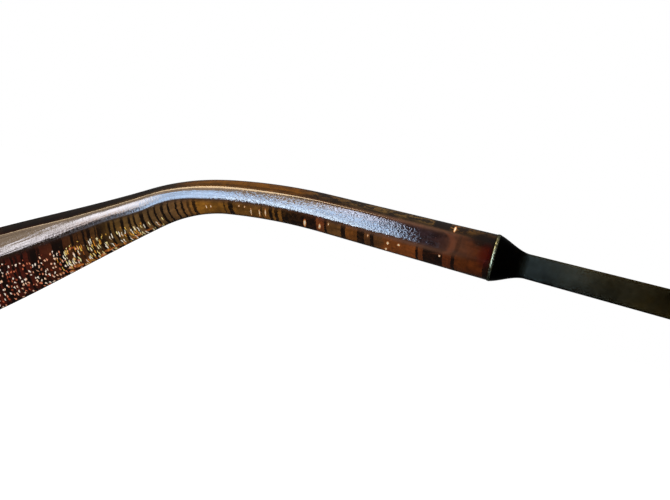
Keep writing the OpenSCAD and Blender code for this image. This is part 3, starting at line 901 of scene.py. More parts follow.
@dataclass(frozen=True)
class Wardrobe:
    """The finished materials that the pieces share."""

    metal: bpy.types.Material
    strip: bpy.types.Material
    bright: bpy.types.Material
    lens: bpy.types.Material
    silicone: bpy.types.Material
    acetate: bpy.types.Material

    @classmethod
    def make(cls) -> "Wardrobe":
        """Builds every finish.

        Returns:
            The wardrobe.
        """
        return cls(
            metal=GunmetalPatina().make(),
            strip=GunmetalPatina("temple_metal", has_strip=True).make(),
            bright=BrightMetal().make(),
            lens=TintedLens().make(),
            silicone=PadSilicone().make(),
            acetate=SleeveAcetate().make(),
        )


@dataclass
class Skin:
    """Closed skin through rings of points in millimetres, with values stored at the points."""

    rings: np.ndarray
    fields: dict[str, np.ndarray] = field(default_factory=dict)
    round_ends: bool = False

    def faces(self, first: int) -> list[list[int]]:
        """Lists the faces.

        Args:
            first: Number of the skin's first point.

        Returns:
            The point numbers of each face, in the rings' own winding.
        """
        count, points = self.rings.shape[:2]
        number = first + np.arange(count * points).reshape(count, points)
        ahead = np.roll(number, -1, axis=1)
        quads = np.stack([number[:-1], number[1:], ahead[1:], ahead[:-1]], -1).reshape(-1, 4)
        return [number[0].tolist(), *quads.tolist(), number[-1, ::-1].tolist()]

    def inside_out(self) -> bool:
        """Adds up the volume that the skin encloses.

        Returns:
            Whether the rings' own winding points the faces inwards.
        """
        a, b = self.rings[:-1], self.rings[1:]
        a_next, b_next = np.roll(a, -1, axis=1), np.roll(b, -1, axis=1)
        volume = np.sum(a * (np.cross(b, b_next) + np.cross(b_next, a_next)))
        for ring, turn in ((self.rings[0], 1), (self.rings[-1], -1)):
            volume += turn * np.sum(np.cross(ring, np.roll(ring, -1, axis=0)) @ ring[0])
        return bool(volume < 0)


@dataclass
class Piece:
    """Mesh piece made of skins that are drawn for the left side."""

    name: str
    skins: Sequence[Skin]

    def build(self, side: Side, finish: bpy.types.Material) -> bpy.types.Object:
        """Makes the piece for one side.

        Args:
            side: The side; the right mirrors the left.
            finish: Its material.

        Returns:
            The new object, at the origin.
        """
        points: list[np.ndarray] = []
        faces: list[list[int]] = []
        smooth: list[bool] = []
        for skin in self.skins:
            lists = skin.faces(sum(len(p) for p in points))
            if skin.inside_out() is (side is Side.LEFT):
                lists = [face[::-1] for face in lists]
            faces.extend(lists)
            smooth.extend(skin.round_ends or len(face) == 4 for face in lists)
            points.append(skin.rings.reshape(-1, 3) * (side.value, 1, 1))
        mesh = bpy.data.meshes.new(self.name)
        mesh.from_pydata((np.vstack(points) * MM).tolist(), [], faces)
        mesh.polygons.foreach_set("use_smooth", smooth)
        for name in self.skins[0].fields:
            layer = mesh.attributes.new(name, "FLOAT_VECTOR", "POINT")
            values = np.vstack([skin.fields[name].reshape(-1, 3) for skin in self.skins])
            layer.data.foreach_set("vector", values.astype(np.float32).ravel())
        mesh.materials.append(finish)
        mesh.validate()
        mesh.update()
        piece = bpy.data.objects.new(side.node(self.name), mesh)
        bpy.context.scene.collection.objects.link(piece)
        LOG.info("piece %s: %d points", piece.name, len(mesh.vertices))
        return piece


@dataclass(frozen=True)
class SleeveShape:
    """Form of a temple's tip sleeve: a straight part, two bends and a paddle, with a facet on the head side.

    The shares of bevel and facet are of the section's height, at the front and on the paddle. Swell, thin
    and lift say how much they shift, where along the sleeve, and over what length.
    """

    length: float = 76.0
    straight: float = 17.2
    bend_a_len: float = 10.0
    bend_a: float = 10.0
    bend_b_len: float = 8.0
    bend_b: float = 25.0
    start_h: float = 4.6
    neck_h: float = 3.48
    paddle_h: float = 9.2
    neck_at: float = 28.0
    paddle_grow: float = 34.0
    start_t: float = 3.3
    paddle_t: float = 2.8
    tip_inward: float = 3.0
    core_r: float = 0.73
    core_len: float = 58.03
    bevel_shares: tuple[float, float] = (0.22, 0.16)
    facet_shares: tuple[float, float] = (0.46, 0.30)
    swell: Triple = (0.075, 36.0, 3.0)
    thin: Triple = (0.028, 43.0, 7.0)
    lift: Triple = (0.028, 23.0, 6.0)
    facet_in: float = 5.0
    facet_crown: float = 0.02
    bevel_e: float = 0.7
    dome_e: float = 2.6
    end_e: float = 0.6
    ridge_r: float = 0.18
    ridge_share: float = 1 / 40
    ridge_kept: float = 0.5
    crowding: float = 1.5
    points: int = 128
    face_points: int = 60
    ring_pitch: float = 0.35
    core_rings: int = 24
    end_rings: int = 16
    end_turn: float = 88.0

    @property
    def tip_r(self) -> float:
        """Radius of the rounded end."""
        return self.paddle_h / 2

    @property
    def tip_round_at(self) -> float:
        """Distance along the sleeve to its rounded end."""
        return self.length - self.tip_r

    @property
    def drop_at(self) -> float:
        """Distance along the sleeve to the end of its bends."""
        return self.straight + self.bend_a_len + self.bend_b_len

    def pose(self, along: float) -> Triple:
        """Follows the middle line.

        Args:
            along: Distance along the sleeve.

        Returns:
            The distance back, the height, and the downward angle in radians.
        """
        back, up, angle = min(along, self.straight), 0.0, 0.0
        start = self.straight
        for length, turn in ((self.bend_a_len, self.bend_a), (self.bend_b_len, self.bend_b)):
            run = min(max(along - start, 0.0), length)
            turned = math.radians(turn) * run / length
            radius = length / math.radians(turn)
            back += radius * (math.sin(angle + turned) - math.sin(angle))
            up += radius * (math.cos(angle + turned) - math.cos(angle))
            angle += turned
            start += length
        rest = max(along - start, 0.0)
        return back + rest * math.cos(angle), up - rest * math.sin(angle), angle

    def curve_in(self, along: float) -> float:
        """Returns how far the sleeve has curved in towards the head."""
        past = max(0.0, along - self.drop_at) / (self.length - self.drop_at)
        return self.tip_inward * past**2

    def closing(self, along: float) -> float:
        """Returns 1 along the sleeve, falling to 0 round its end."""
        past = min(max((along - self.tip_round_at) / self.tip_r, 0.0), 1.0)
        return math.sqrt(1 - past**2)

    def height(self, along: float) -> float:
        """Measures the section.

        Args:
            along: Distance along the sleeve.

        Returns:
            Its full height.
        """
        if along < self.neck_at:
            size = mix(self.start_h, self.neck_h, along / self.neck_at)
        else:
            size = mix(self.neck_h, self.paddle_h, ease((along - self.neck_at) / self.paddle_grow))
        return self.closing(along) * size

    def half_t(self, along: float) -> float:
        """Returns the thickness on each side of the middle."""
        size = mix(self.start_t, self.paddle_t, ease(along / self.drop_at))
        return self.closing(along) ** self.end_e * size / 2

    def outline(self, along: float) -> tuple[np.ndarray, np.ndarray, np.ndarray]:
        """Draws the section with softened ridges.

        Args:
            along: Distance along the sleeve.

        Returns:
            Points as [inwards, up], the share of facet at each, and the share of head side.
        """
        h, t = self.height(along), self.half_t(along)
        late = ease((along - self.neck_at) / (self.drop_at - self.neck_at))
        swell, lift = (share * hump(along, middle, reach) for share, middle, reach in (self.swell, self.lift))
        thin = self.thin[0] * ease((along - self.thin[1]) / self.thin[2])
        bevel = h * (mix(*self.bevel_shares, late) - thin + lift)
        flat = h * (mix(*self.facet_shares, late) + swell + thin - lift)
        low = h - bevel - flat
        cut = float(ease(along / self.facet_in))
        ridge = t * (1 - self.facet_crown)
        f = np.linspace(0, 1, self.face_points)
        soft = f**self.crowding
        inner = np.concatenate([
            np.stack([ridge * soft**self.bevel_e, h / 2 - bevel * soft], 1),
            np.stack([t * (1 - self.facet_crown * (2 * f - 1) ** 2), h / 2 - bevel - flat * f], 1)[1:],
            np.stack([ridge * soft[::-1] ** self.bevel_e, low * soft[::-1] - h / 2], 1)[1:],
        ])
        level = np.clip(1 - np.abs(2 * inner[:, 1] / h) ** self.dome_e, 0, 1)
        inner[:, 0] = mix(t * level ** (1 / self.dome_e), inner[:, 0], cut)
        outer = oval(np.radians(np.linspace(-90, 90, 2 * self.face_points)[1:-1]), -t, h / 2, self.dome_e)
        ring = np.concatenate([inner, outer])
        on_facet, on_head = np.zeros(len(ring)), np.zeros(len(ring))
        on_facet[self.face_points : 2 * self.face_points - 2] = cut
        on_head[: len(inner)] = 1
        return self.resampled(ring, on_facet, on_head)

    def resampled(
        self, ring: np.ndarray, on_facet: np.ndarray, on_head: np.ndarray
    ) -> tuple[np.ndarray, np.ndarray, np.ndarray]:
        """Spaces the points of a ring evenly and softens its ridges.

        Args:
            ring: Points of the ring.
            on_facet: Share of facet at each.
            on_head: Share of head side at each.

        Returns:
            The same three with the wanted number of points.
        """
        columns = np.column_stack([ring, on_facet, on_head])
        columns = np.vstack([columns, columns[:1]])
        run = np.append(0, np.cumsum(np.linalg.norm(np.diff(columns[:, :2], axis=0), axis=1)))
        at = np.arange(self.points) / self.points * run[-1]
        even = np.stack([np.interp(at, run, column) for column in columns.T], 1)
        waves = np.fft.rfftfreq(self.points, run[-1] / self.points)
        radius = min(self.ridge_r, run[-1] * self.ridge_share)
        keep = np.exp(-2 * (math.pi * waves * radius) ** 2)[:, None]
        smooth = np.fft.irfft(np.fft.rfft(even, axis=0) * keep, self.points, axis=0)
        smooth[0, 0] = mix(smooth[0, 0], even[0, 0], self.ridge_kept)
        return smooth[:, :2], smooth[:, 2], smooth[:, 3]

    def placed(self, along: float, section: np.ndarray) -> np.ndarray:
        """Places the points of a section.

        Args:
            along: Distance along the sleeve.
            section: Its points as [inwards, up].

        Returns:
            The points in the temple's frame: out, back, up.
        """
        back, up, angle = self.pose(along)
        return np.stack([
            -self.curve_in(along) - section[:, 0],
            back + section[:, 1] * math.sin(angle),
            up + section[:, 1] * math.cos(angle),
        ], 1)

    def skin(self) -> Skin:
        """Builds the skin of the whole sleeve: the channel of its core wire, then its outside.

        Returns:
            The skin in the temple's frame, from the front of the sleeve.
        """
        rings, straightened, rounds, zones = [], [], [], []
        none = np.zeros((self.points, 3))

        def put(along: float, section: np.ndarray, way: np.ndarray, zone: np.ndarray) -> None:
            """Adds a ring.

            Args:
                along: Distance along the sleeve.
                section: Its points as [inwards, up].
                way: The way round it at each point.
                zone: Its height, share of facet and share of head side at each point.
            """
            rings.append(self.placed(along, section))
            straightened.append(np.column_stack([np.full(self.points, along), section[:, ::-1]]))
            rounds.append(way)
            zones.append(zone)

        for along in np.linspace(self.core_len, 0, self.core_rings):
            section = self.outline(along)[0]
            put(along, self.core_r * section / np.linalg.norm(section, axis=1, keepdims=True), none, none)
        body = np.linspace(0, self.tip_round_at, round(self.tip_round_at / self.ring_pitch))
        end_turns = np.radians(np.linspace(0, self.end_turn, self.end_rings)[1:])
        for along in np.append(body, self.tip_round_at + self.tip_r * np.sin(end_turns)):
            section, on_facet, on_head = self.outline(along)
            steps = np.linalg.norm(np.diff(section, axis=0), axis=1)
            way = np.column_stack([np.append(0, np.cumsum(steps)), none[:, :2]])
            zone = np.column_stack([2 * section[:, 1] / self.height(along), on_facet, on_head])
            put(along, section, way, zone)
        fields = {"sleeve_mm": np.array(straightened), "round_mm": np.array(rounds), "zone": np.array(zones)}
        return Skin(np.array(rings), fields, round_ends=True)


@dataclass(frozen=True)
class StripShape:
    """Form of a temple's metal strip, with its butt end, taper, flare and lip.

    From the shares round_by and dark_by of the flare on, its section is oval and it is painted dark as shade.
    """

    ferrule_at: float = 69.0
    butt_h: float = 4.2
    butt_t: float = 1.6
    butt_gap: float = 0.06
    strip_h: float = 2.45
    strip_t: float = 1.1
    taper: float = 22.0
    flare_len: float = 3.5
    flare_soft: float = 0.6
    round_by: float = 1 / 2
    dark_by: float = 1 / 3
    lip_w: float = 0.30
    lip_out: float = 0.05
    lip_start: float = 0.4
    strip_e: float = 12.0
    dome_e: float = 2.6
    points: int = 96
    first_ring: float = 1.0
    bar_rings: int = 60
    flare_rings: int = 36
    lip_rings: int = 9

    @property
    def flare_at(self) -> float:
        """Distance back to the start of the flare."""
        return self.ferrule_at - self.flare_len

    def skin(self, slope: float, sleeve: SleeveShape) -> Skin:
        """Builds the skin of the strip.

        Args:
            slope: Downward slope of the temple in radians.
            sleeve: The sleeve that the flare meets.

        Returns:
            The skin in the temple's frame.
        """
        rings, strips = [], []
        around = turns(self.points)

        def put(
            section: np.ndarray, back: Any, shift: float = 0.0, flare: float = 0.0, lip: float = 0.0
        ) -> None:
            """Adds a ring.

            Args:
                section: Its points as [out, up].
                back: Its distance back, or that of each point.
                shift: How far it is moved out.
                flare: Its share of flare.
                lip: Its share of lip.
            """
            back = np.broadcast_to(back, self.points)
            rings.append(np.column_stack([section[:, 0] + shift, back, section[:, 1]]))
            strips.append(np.column_stack([back, np.full(self.points, flare), np.full(self.points, lip)]))

        butt = oval(around, self.butt_t / 2, self.butt_h / 2, self.strip_e)
        slanted = (self.butt_gap - butt[:, 1] * math.sin(slope)) / math.cos(slope)
        put(butt, slanted, (self.butt_t - self.strip_t) / 2)
        for back in np.linspace(self.first_ring, self.flare_at, self.bar_rings):
            t = mix(self.butt_t, self.strip_t, min(1, back / self.taper))
            h = mix(self.butt_h, self.strip_h, back / self.flare_at)
            put(oval(around, t / 2, h / 2, self.strip_e), back, (t - self.strip_t) / 2)
        for f in np.linspace(0, 1, self.flare_rings)[1:]:
            grown = mix(f * f, ease(f), self.flare_soft)
            bead = f * self.lip_out * self.lip_start
            half_t = mix(self.strip_t, sleeve.start_t, grown) / 2 + bead
            half_h = mix(self.strip_h, sleeve.start_h, grown) / 2 + bead
            section = oval(around, half_t, half_h, mix(self.strip_e, self.dome_e, ease(f / self.round_by)))
            # The flare share sets how much painted shade the finish lays on.
            put(section, self.flare_at + f * (self.flare_len - self.lip_w), flare=ease(f / self.dark_by))
        for turn in np.radians(np.linspace(0, 180, self.lip_rings)):
            bead = self.lip_out * mix(self.lip_start, 1.0, math.sin(turn))
            section = oval(around, sleeve.start_t / 2 + bead, sleeve.start_h / 2 + bead, self.dome_e)
            put(section, self.ferrule_at - self.lip_w / 2 * (1 + math.cos(turn)), flare=1.0, lip=1.0)
        return Skin(np.array(rings), {"strip": np.array(strips)})


def joint_place(name: str) -> Vector:
    """Returns the place of a joint in millimetres."""
    return Vector(next(joint["pos_m"] for joint in frame["joints"] if joint["name"] == name)) / MM


@dataclass
class Temple:
    """One temple: strip, hinge leaf and barrel, core wire and tip sleeve."""

    side: Side
    sleeve: SleeveShape = field(default_factory=SleeveShape)
    strip: StripShape = field(default_factory=StripShape)
    made: list[bpy.types.Object] = field(default_factory=list)

    @property
    def hinge(self) -> Vector:
        """Place of the left fold's axis in millimetres."""
        return joint_place("fold_left")

    @property
    def middle_x(self) -> float:
        """Middle of the left strip's thickness."""
        outer_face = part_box("end_piece_left")[1].x / MM
        return outer_face - self.strip.butt_t + self.strip.strip_t / 2

    @property
    def slope(self) -> float:
        """Downward slope at which the rounded end stands on the table, in radians."""
        back, up, _ = self.sleeve.pose(self.sleeve.tip_round_at)
        back += self.strip.ferrule_at
        drop = math.asin((self.hinge.z - self.sleeve.tip_r) / math.hypot(back, up))
        return drop - math.atan2(-up, back)

    def world(self, local: np.ndarray) -> np.ndarray:
        """Places points of the left temple.

        Args:
            local: Points as out, back from the hinge, and up, in millimetres.

        Returns:
            The points in the model's frame, in millimetres.
        """
        c, s = math.cos(self.slope), math.sin(self.slope)
        out, back, up = np.moveaxis(local, -1, 0)
        return np.stack([
            self.middle_x + out, self.hinge.y + back * c + up * s, self.hinge.z - back * s + up * c
        ], -1)

    def build(self, wardrobe: Wardrobe) -> None:
        """Makes the temple's own pieces and dresses its solids.

        Args:
            wardrobe: The finishes.
        """
        sleeve = self.sleeve.skin()
        sleeve.rings[..., 1] += self.strip.ferrule_at
        strip = self.strip.skin(self.slope, self.sleeve)
        body = self.side.node("temple")
        for name, skin, base, slot, finish in (
            ("sleeve", sleeve, "tip_sleeve", Slot.SLEEVE_ACETATE, wardrobe.acetate),
            ("strip", strip, "temple_bar", Slot.FRAME_METAL, wardrobe.strip),
        ):
            skin.rings = self.world(skin.rings)
            self.made.append(install(Piece(name, [skin]), self.side, base, body, finish))
        dress(self.side.node("temple_hinge"), wardrobe.metal, edge=BROKEN_EDGE)
        dress(self.side.node("core_wire"), wardrobe.bright)


def install(
    piece: Piece, side: Side, base: str, body: str, finish: bpy.types.Material
) -> bpy.types.Object:
    """Makes a piece for one side and puts it in the place of a solid.

    Args:
        piece: The piece.
        side: Its side.
        base: Name of the solid without its side.
        body: Name of the body that it rides on.
        finish: Its material.

    Returns:
        The piece.
    """
    made = piece.build(side, finish)
    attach(made, body)
    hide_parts(side.node(base))
    return made


def dress(node: str, finish: bpy.types.Material, edge: float = 0.0) -> None:
    """Gives a solid its finish.

    Args:
        node: The solid's name.
        finish: Its material.
        edge: Width in millimetres by which its sharp edges are broken.
    """
    solid = frame["nodes"][node]
    solid.data.materials.clear()
    solid.data.materials.append(finish)
    if edge:
        weld = solid.modifiers.new("weld", "WELD")
        weld.merge_threshold = WELD_GAP * MM
        bevel = solid.modifiers.new("edges", "BEVEL")
        bevel.width = edge * MM
        bevel.segments = 2
        bevel.limit_method = "ANGLE"
        bevel.angle_limit = math.radians(SHARP_TURN)
        bevel.harden_normals = True
    LOG.info("solid %s: %s", node, finish.name)


@dataclass(frozen=True)
class LensShape:
    """Form of a lens: two spherical faces and a pointed edge."""

    radius: float = 24.44
    thickness: float = 2.0
    curve_r: float = 120.0
    edge: float = 0.5
    inset: float = 0.02
    wrap: float = 4.0
    middle_x: float = 35.0
    middle_z: float = 25.9
    points: int = 160
    face_rings: int = 22
    face_from: float = 0.5
    middle_r: float = 0.02
    borders: tuple[float, float] = (0.4, 0.05)

    @property
    def turned(self) -> tuple[float, float]:
        """Cosine and sine of the wrap."""
        return math.cos(math.radians(self.wrap)), math.sin(math.radians(self.wrap))

    def skin(self, front_y: float) -> Skin:
        """Builds the skin of the left lens.

        Args:
            front_y: Place of the lens plane.

        Returns:
            The skin in the model's frame.
        """
        last, nearly = (self.radius - border for border in self.borders)
        spread = [self.middle_r, *np.linspace(self.face_from, last, self.face_rings), nearly, self.radius]
        middle = self.thickness / 2 - self.inset - math.sqrt(self.curve_r**2 - self.radius**2)
        curves = (self.curve_r, self.curve_r - self.thickness)
        front, back = ([(r, middle + math.sqrt(curve**2 - r**2)) for r in spread] for curve in curves)
        rim = [(self.radius, self.edge), (self.radius + self.edge, 0.0), (self.radius, -self.edge)]
        angle = turns(self.points)
        c, s = self.turned
        rings = []
        for r, forward in front + rim + back[::-1]:
            across = r * np.cos(angle)
            rings.append(np.stack([
                self.middle_x + across * c + forward * s, front_y + across * s - forward * c,
                self.middle_z + r * np.sin(angle),
            ], 1))
        return Skin(np.array(rings), round_ends=True)


@dataclass(frozen=True)
class PadShape:
    """Form of a nose pad and of the arm that carries it.

    The pad's own axes start at its screw: x away from the nose, y back and z up.
    """

    width: float = 7.5
    length: float = 13.0
    thickness: float = 2.4
    squareness: float = 2.3
    front_share: float = 0.88
    edge_share: float = 0.3
    foot_size: float = 0.9
    crown: float = 2.8
    crown_size: float = 0.12
    edge_rings: int = 9
    face_rings: int = 26
    seat: float = 1.3
    plate_t: float = 0.5
    plate_r: float = 1.74
    plate_len: float = 6.4
    plate_gap: float = 0.04
    splay: float = 25.0
    tilt: float = 15.0
    back: float = 6.4
    arm_r: float = 0.55
    arm_up: float = 3.5
    arm_lead_rim: float = 6.0
    arm_lead_fork: float = 4.0
    arm_rings: int = 70
    arm_points: int = 32
    rim_mid_r: float = 25.23
    rim_w: float = 2.2
    fork_w: float = 2.3
    fork_gap: float = 1.1
    fork_front: float = 0.95
    fork_back: float = 1.55
    fork_clear: float = 0.15
    fork_edge: float = 0.18
    fork_bevel: float = 0.6
    solder: float = 0.35
    solder_reach: float = 0.9
    points: int = 96

    def placed(self, local: np.ndarray, pivot: Vector) -> np.ndarray:
        """Places points of the left pad.

        Args:
            local: Points in the pad's own frame.
            pivot: Place of its screw.

        Returns:
            The points in the model's frame.
        """
        splay, tilt = (-math.radians(angle) for angle in (self.splay, self.tilt))
        turn = Matrix.Rotation(splay, 3, "Z") @ Matrix.Rotation(tilt, 3, "Y")
        return local @ np.array(turn).T + np.array(pivot)

    def outline(self, size: float) -> np.ndarray:
        """Draws the pad's outline, flatter at the front.

        Args:
            size: Its share of the full size.

        Returns:
            The points as [y, z].
        """
        edge = oval(turns(self.points, 0.5), self.width / 2, self.length / 2, self.squareness) * size
        edge[:, 0] *= np.where(edge[:, 0] < 0, self.front_share, 1.0)
        return edge

    def pad(self, pivot: Vector) -> Skin:
        """Builds the pad: its plate's pocket, its rounded edge and its crowned face.

        Args:
            pivot: Place of its screw.

        Returns:
            The skin in the model's frame.
        """
        pocket = oval(turns(self.points, 0.5), self.plate_r, self.plate_r, 2.0)
        pocket[:, 1] += np.sign(pocket[:, 1]) * (self.plate_len / 2 - self.plate_r + self.plate_gap)
        levels = [(self.seat + self.plate_t, pocket), (self.seat, pocket)]
        for turn in np.radians(np.linspace(0, 90, self.edge_rings)):
            share = self.edge_share * (1 - math.cos(turn))
            size = mix(self.foot_size, 1.0, math.sin(turn))
            levels.append((self.seat + share * self.thickness, self.outline(size)))
        for face in np.linspace(0, 1, self.face_rings)[1:-1]:
            size = (1 - face**self.crown) ** (1 / self.crown)
            levels.append((self.seat + mix(self.edge_share, 1.0, face) * self.thickness, self.outline(size)))
        levels.append((self.seat + self.thickness, self.outline(self.crown_size)))
        rings = [np.column_stack([np.full(self.points, -depth), edge]) for depth, edge in levels]
        return Skin(self.placed(np.array(rings), pivot), round_ends=True)

    def arm(self, pivot: Vector, lens: LensShape) -> list[Skin]:
        """Builds the arm's wire, with solder at the rim, and its fork.

        Args:
            pivot: Place of the pad's screw.
            lens: The lens whose rim carries the arm.

        Returns:
            The wire and the fork in the model's frame.
        """
        c, s = lens.turned
        reach = -math.sqrt(self.rim_mid_r**2 - self.arm_up**2)
        lead = np.array([-s, c, 0.0])
        origin = np.array([lens.middle_x, pivot.y - self.back, lens.middle_z])
        start = origin + np.array([reach * c, reach * s, self.arm_up]) + lead * self.rim_w / 2
        out = self.placed(np.array([1.0, 0.0, 0.0]), Vector())
        end = np.array(pivot) + out * self.fork_back
        knots = (start, start + lead * self.arm_lead_rim, end + out * self.arm_lead_fork, end)
        t = np.linspace(0, 1, self.arm_rings)[:, None]
        weights = ((1 - t) ** 3, 3 * t * (1 - t) ** 2, 3 * t * t * (1 - t), t**3)
        line = sum(weight * knot for weight, knot in zip(weights, knots))
        ahead = np.gradient(line, axis=0)
        ahead /= np.linalg.norm(ahead, axis=1, keepdims=True)
        side = np.cross(ahead, (0.0, 0.0, 1.0))
        side /= np.linalg.norm(side, axis=1, keepdims=True)
        up = np.cross(ahead, side)
        run = np.linalg.norm(line - line[0], axis=1)
        radius = self.arm_r + self.solder * np.clip(1 - run / self.solder_reach, 0, 1) ** 2
        angle = turns(self.arm_points)[:, None]
        spokes = side[:, None] * np.cos(angle) + up[:, None] * np.sin(angle)
        wire = line[:, None] + radius[:, None, None] * spokes
        return [Skin(wire), Skin(self.placed(self.fork(), pivot))]

    def fork(self) -> np.ndarray:
        """Draws the fork upwards, as a U with broken edges.

        Returns:
            Its rings in the pad's own frame.
        """
        half, gap, edge = self.fork_w / 2, self.fork_gap / 2, self.fork_edge

        def plan(inset: float) -> list[tuple[float, float]]:
            """Draws the U seen from above.

            Args:
                inset: How far its outline is drawn in.

            Returns:
                Its corners as (x, y).
            """
            outer, inner = half - inset, gap + inset
            tip, back = inset - self.fork_front, self.fork_back - inset
            slot = self.fork_front + self.fork_clear + inset
            return [
                (tip + edge, -outer), (back - edge, -outer), (back, edge - outer), (back, outer - edge),
                (back - edge, outer), (tip + edge, outer), (tip, outer - edge), (tip, inner), (slot, inner),
                (slot, -inner), (tip, -inner), (tip, edge - outer),
            ]

        bevel = edge * self.fork_bevel
        levels = ((-half, bevel), (edge - half, 0.0), (half - edge, 0.0), (half, bevel))
        return np.array([[(x, y, z) for x, y in plan(inset)] for z, inset in levels])


@dataclass
class Front:
    """Rims, lenses, bridge, closing blocks, end pieces, hinge halves, pad arms and pads."""

    lens: LensShape = field(default_factory=LensShape)
    pad: PadShape = field(default_factory=PadShape)

    def build(self, wardrobe: Wardrobe) -> None:
        """Makes the front's own pieces and dresses its solids.

        Args:
            wardrobe: The finishes.
        """
        pivot = joint_place("rock_left")
        dress("bridge", wardrobe.metal)
        for side in Side:
            for base in ("rim", "end_piece"):
                dress(side.node(base), wardrobe.metal)
            for base in ("closing_block", "front_hinge"):
                dress(side.node(base), wardrobe.metal, edge=BROKEN_EDGE)
            for base in ("rim_screw", "hinge_screw", "pad_screw"):
                dress(side.node(base), wardrobe.bright, edge=SCREW_EDGE)
            dress(side.node("pad_insert"), wardrobe.bright)
            lens = Piece("clear_lens", [self.lens.skin(pivot.y - self.pad.back)])
            install(lens, side, "lens", "front", wardrobe.lens)
            arm = Piece("arm_wire", self.pad.arm(pivot, self.lens))
            install(arm, side, "pad_arm", "front", wardrobe.metal)
            pad = Piece("soft_pad", [self.pad.pad(pivot)])
            install(pad, side, "nose_pad", side.node("pad"), wardrobe.silicone)


@dataclass(frozen=True)
class Lamp:
    """Soft rectangular lamp, placed by direction and distance from what it lights."""

    name: str
    azimuth: float
    elevation: float
    distance: float
    size: tuple[float, float]
    colour: Colour
    radiance: float
    lit: Lit

    def build(self, aim: Vector, shown_on: bpy.types.Collection | None = None) -> None:
        """Makes the lamp.

        Args:
            aim: The point that it faces, in metres.
            shown_on: The only pieces that it lights, or nothing when it lights them all.
        """
        a, e = math.radians(self.azimuth), math.radians(self.elevation)
        away = Vector((-math.cos(a) * math.cos(e), math.sin(a) * math.cos(e), math.sin(e)))
        data = bpy.data.lights.new(self.name, "AREA")
        data.shape = "RECTANGLE"
        data.size, data.size_y = self.size[0] * MM, self.size[1] * MM
        data.color = self.colour
        data.energy = self.radiance * math.pi * data.size * data.size_y
        lamp = bpy.data.objects.new(self.name, data)
        lamp.location = aim + away * self.distance * MM
        lamp.rotation_mode = "QUATERNION"
        lamp.rotation_quaternion = away.to_track_quat("Z", "Y")
        lamp.visible_camera = False
        lamp.visible_diffuse = self.lit is Lit.PLAIN
        lamp.visible_glossy = self.lit is Lit.MIRRORED
        if shown_on:
            lamp.light_linking.receiver_collection = shown_on
        bpy.context.scene.collection.objects.link(lamp)
        LOG.info("lamp %s", self.name)


@dataclass(frozen=True)
class Card:
    """Glowing card beside the left temple, which shows only where it is mirrored.

    Its corners are given as the distance back from the hinge and the height, in the temple's frame.
    """

    name: str
    corners: Outline
    colour: Colour
    radiance: float
    inward: float = 110.0
    cloudiness: float = 2.6

    def build(self, temple: Temple, mirrored_in: bpy.types.Collection) -> None:
        """Makes the card.

        Args:
            temple: The left temple, which it faces.
            mirrored_in: The only pieces that mirror it.
        """
        local = np.array([(-self.inward, back, up) for back, up in self.corners])
        mesh = bpy.data.meshes.new(self.name)
        mesh.from_pydata((temple.world(local) * MM).tolist(), [], [list(range(len(local)))])
        material, nodes = new_material(self.name)
        level = (nodes.noise(nodes.place(), 0.2) - 0.5) * self.cloudiness + 1.0
        glow = nodes.add("ShaderNodeEmission", inputs={"Color": self.colour, "Strength": level * self.radiance})
        behind = nodes.add("ShaderNodeNewGeometry").outputs["Backfacing"]
        clear = nodes.add("ShaderNodeBsdfTransparent")
        sides = nodes.add("ShaderNodeMixShader", inputs={0: behind, 1: glow.outputs[0], 2: clear.outputs[0]})
        nodes.add("ShaderNodeOutputMaterial", inputs={"Surface": sides.outputs[0]})
        mesh.materials.append(material)
        card = bpy.data.objects.new(self.name, mesh)
        card.visible_camera = card.visible_diffuse = card.visible_transmission = card.visible_shadow = False
        card.light_linking.receiver_collection = mirrored_in
        bpy.context.scene.collection.objects.link(card)
        card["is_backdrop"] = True
        LOG.info("card %s", self.name)


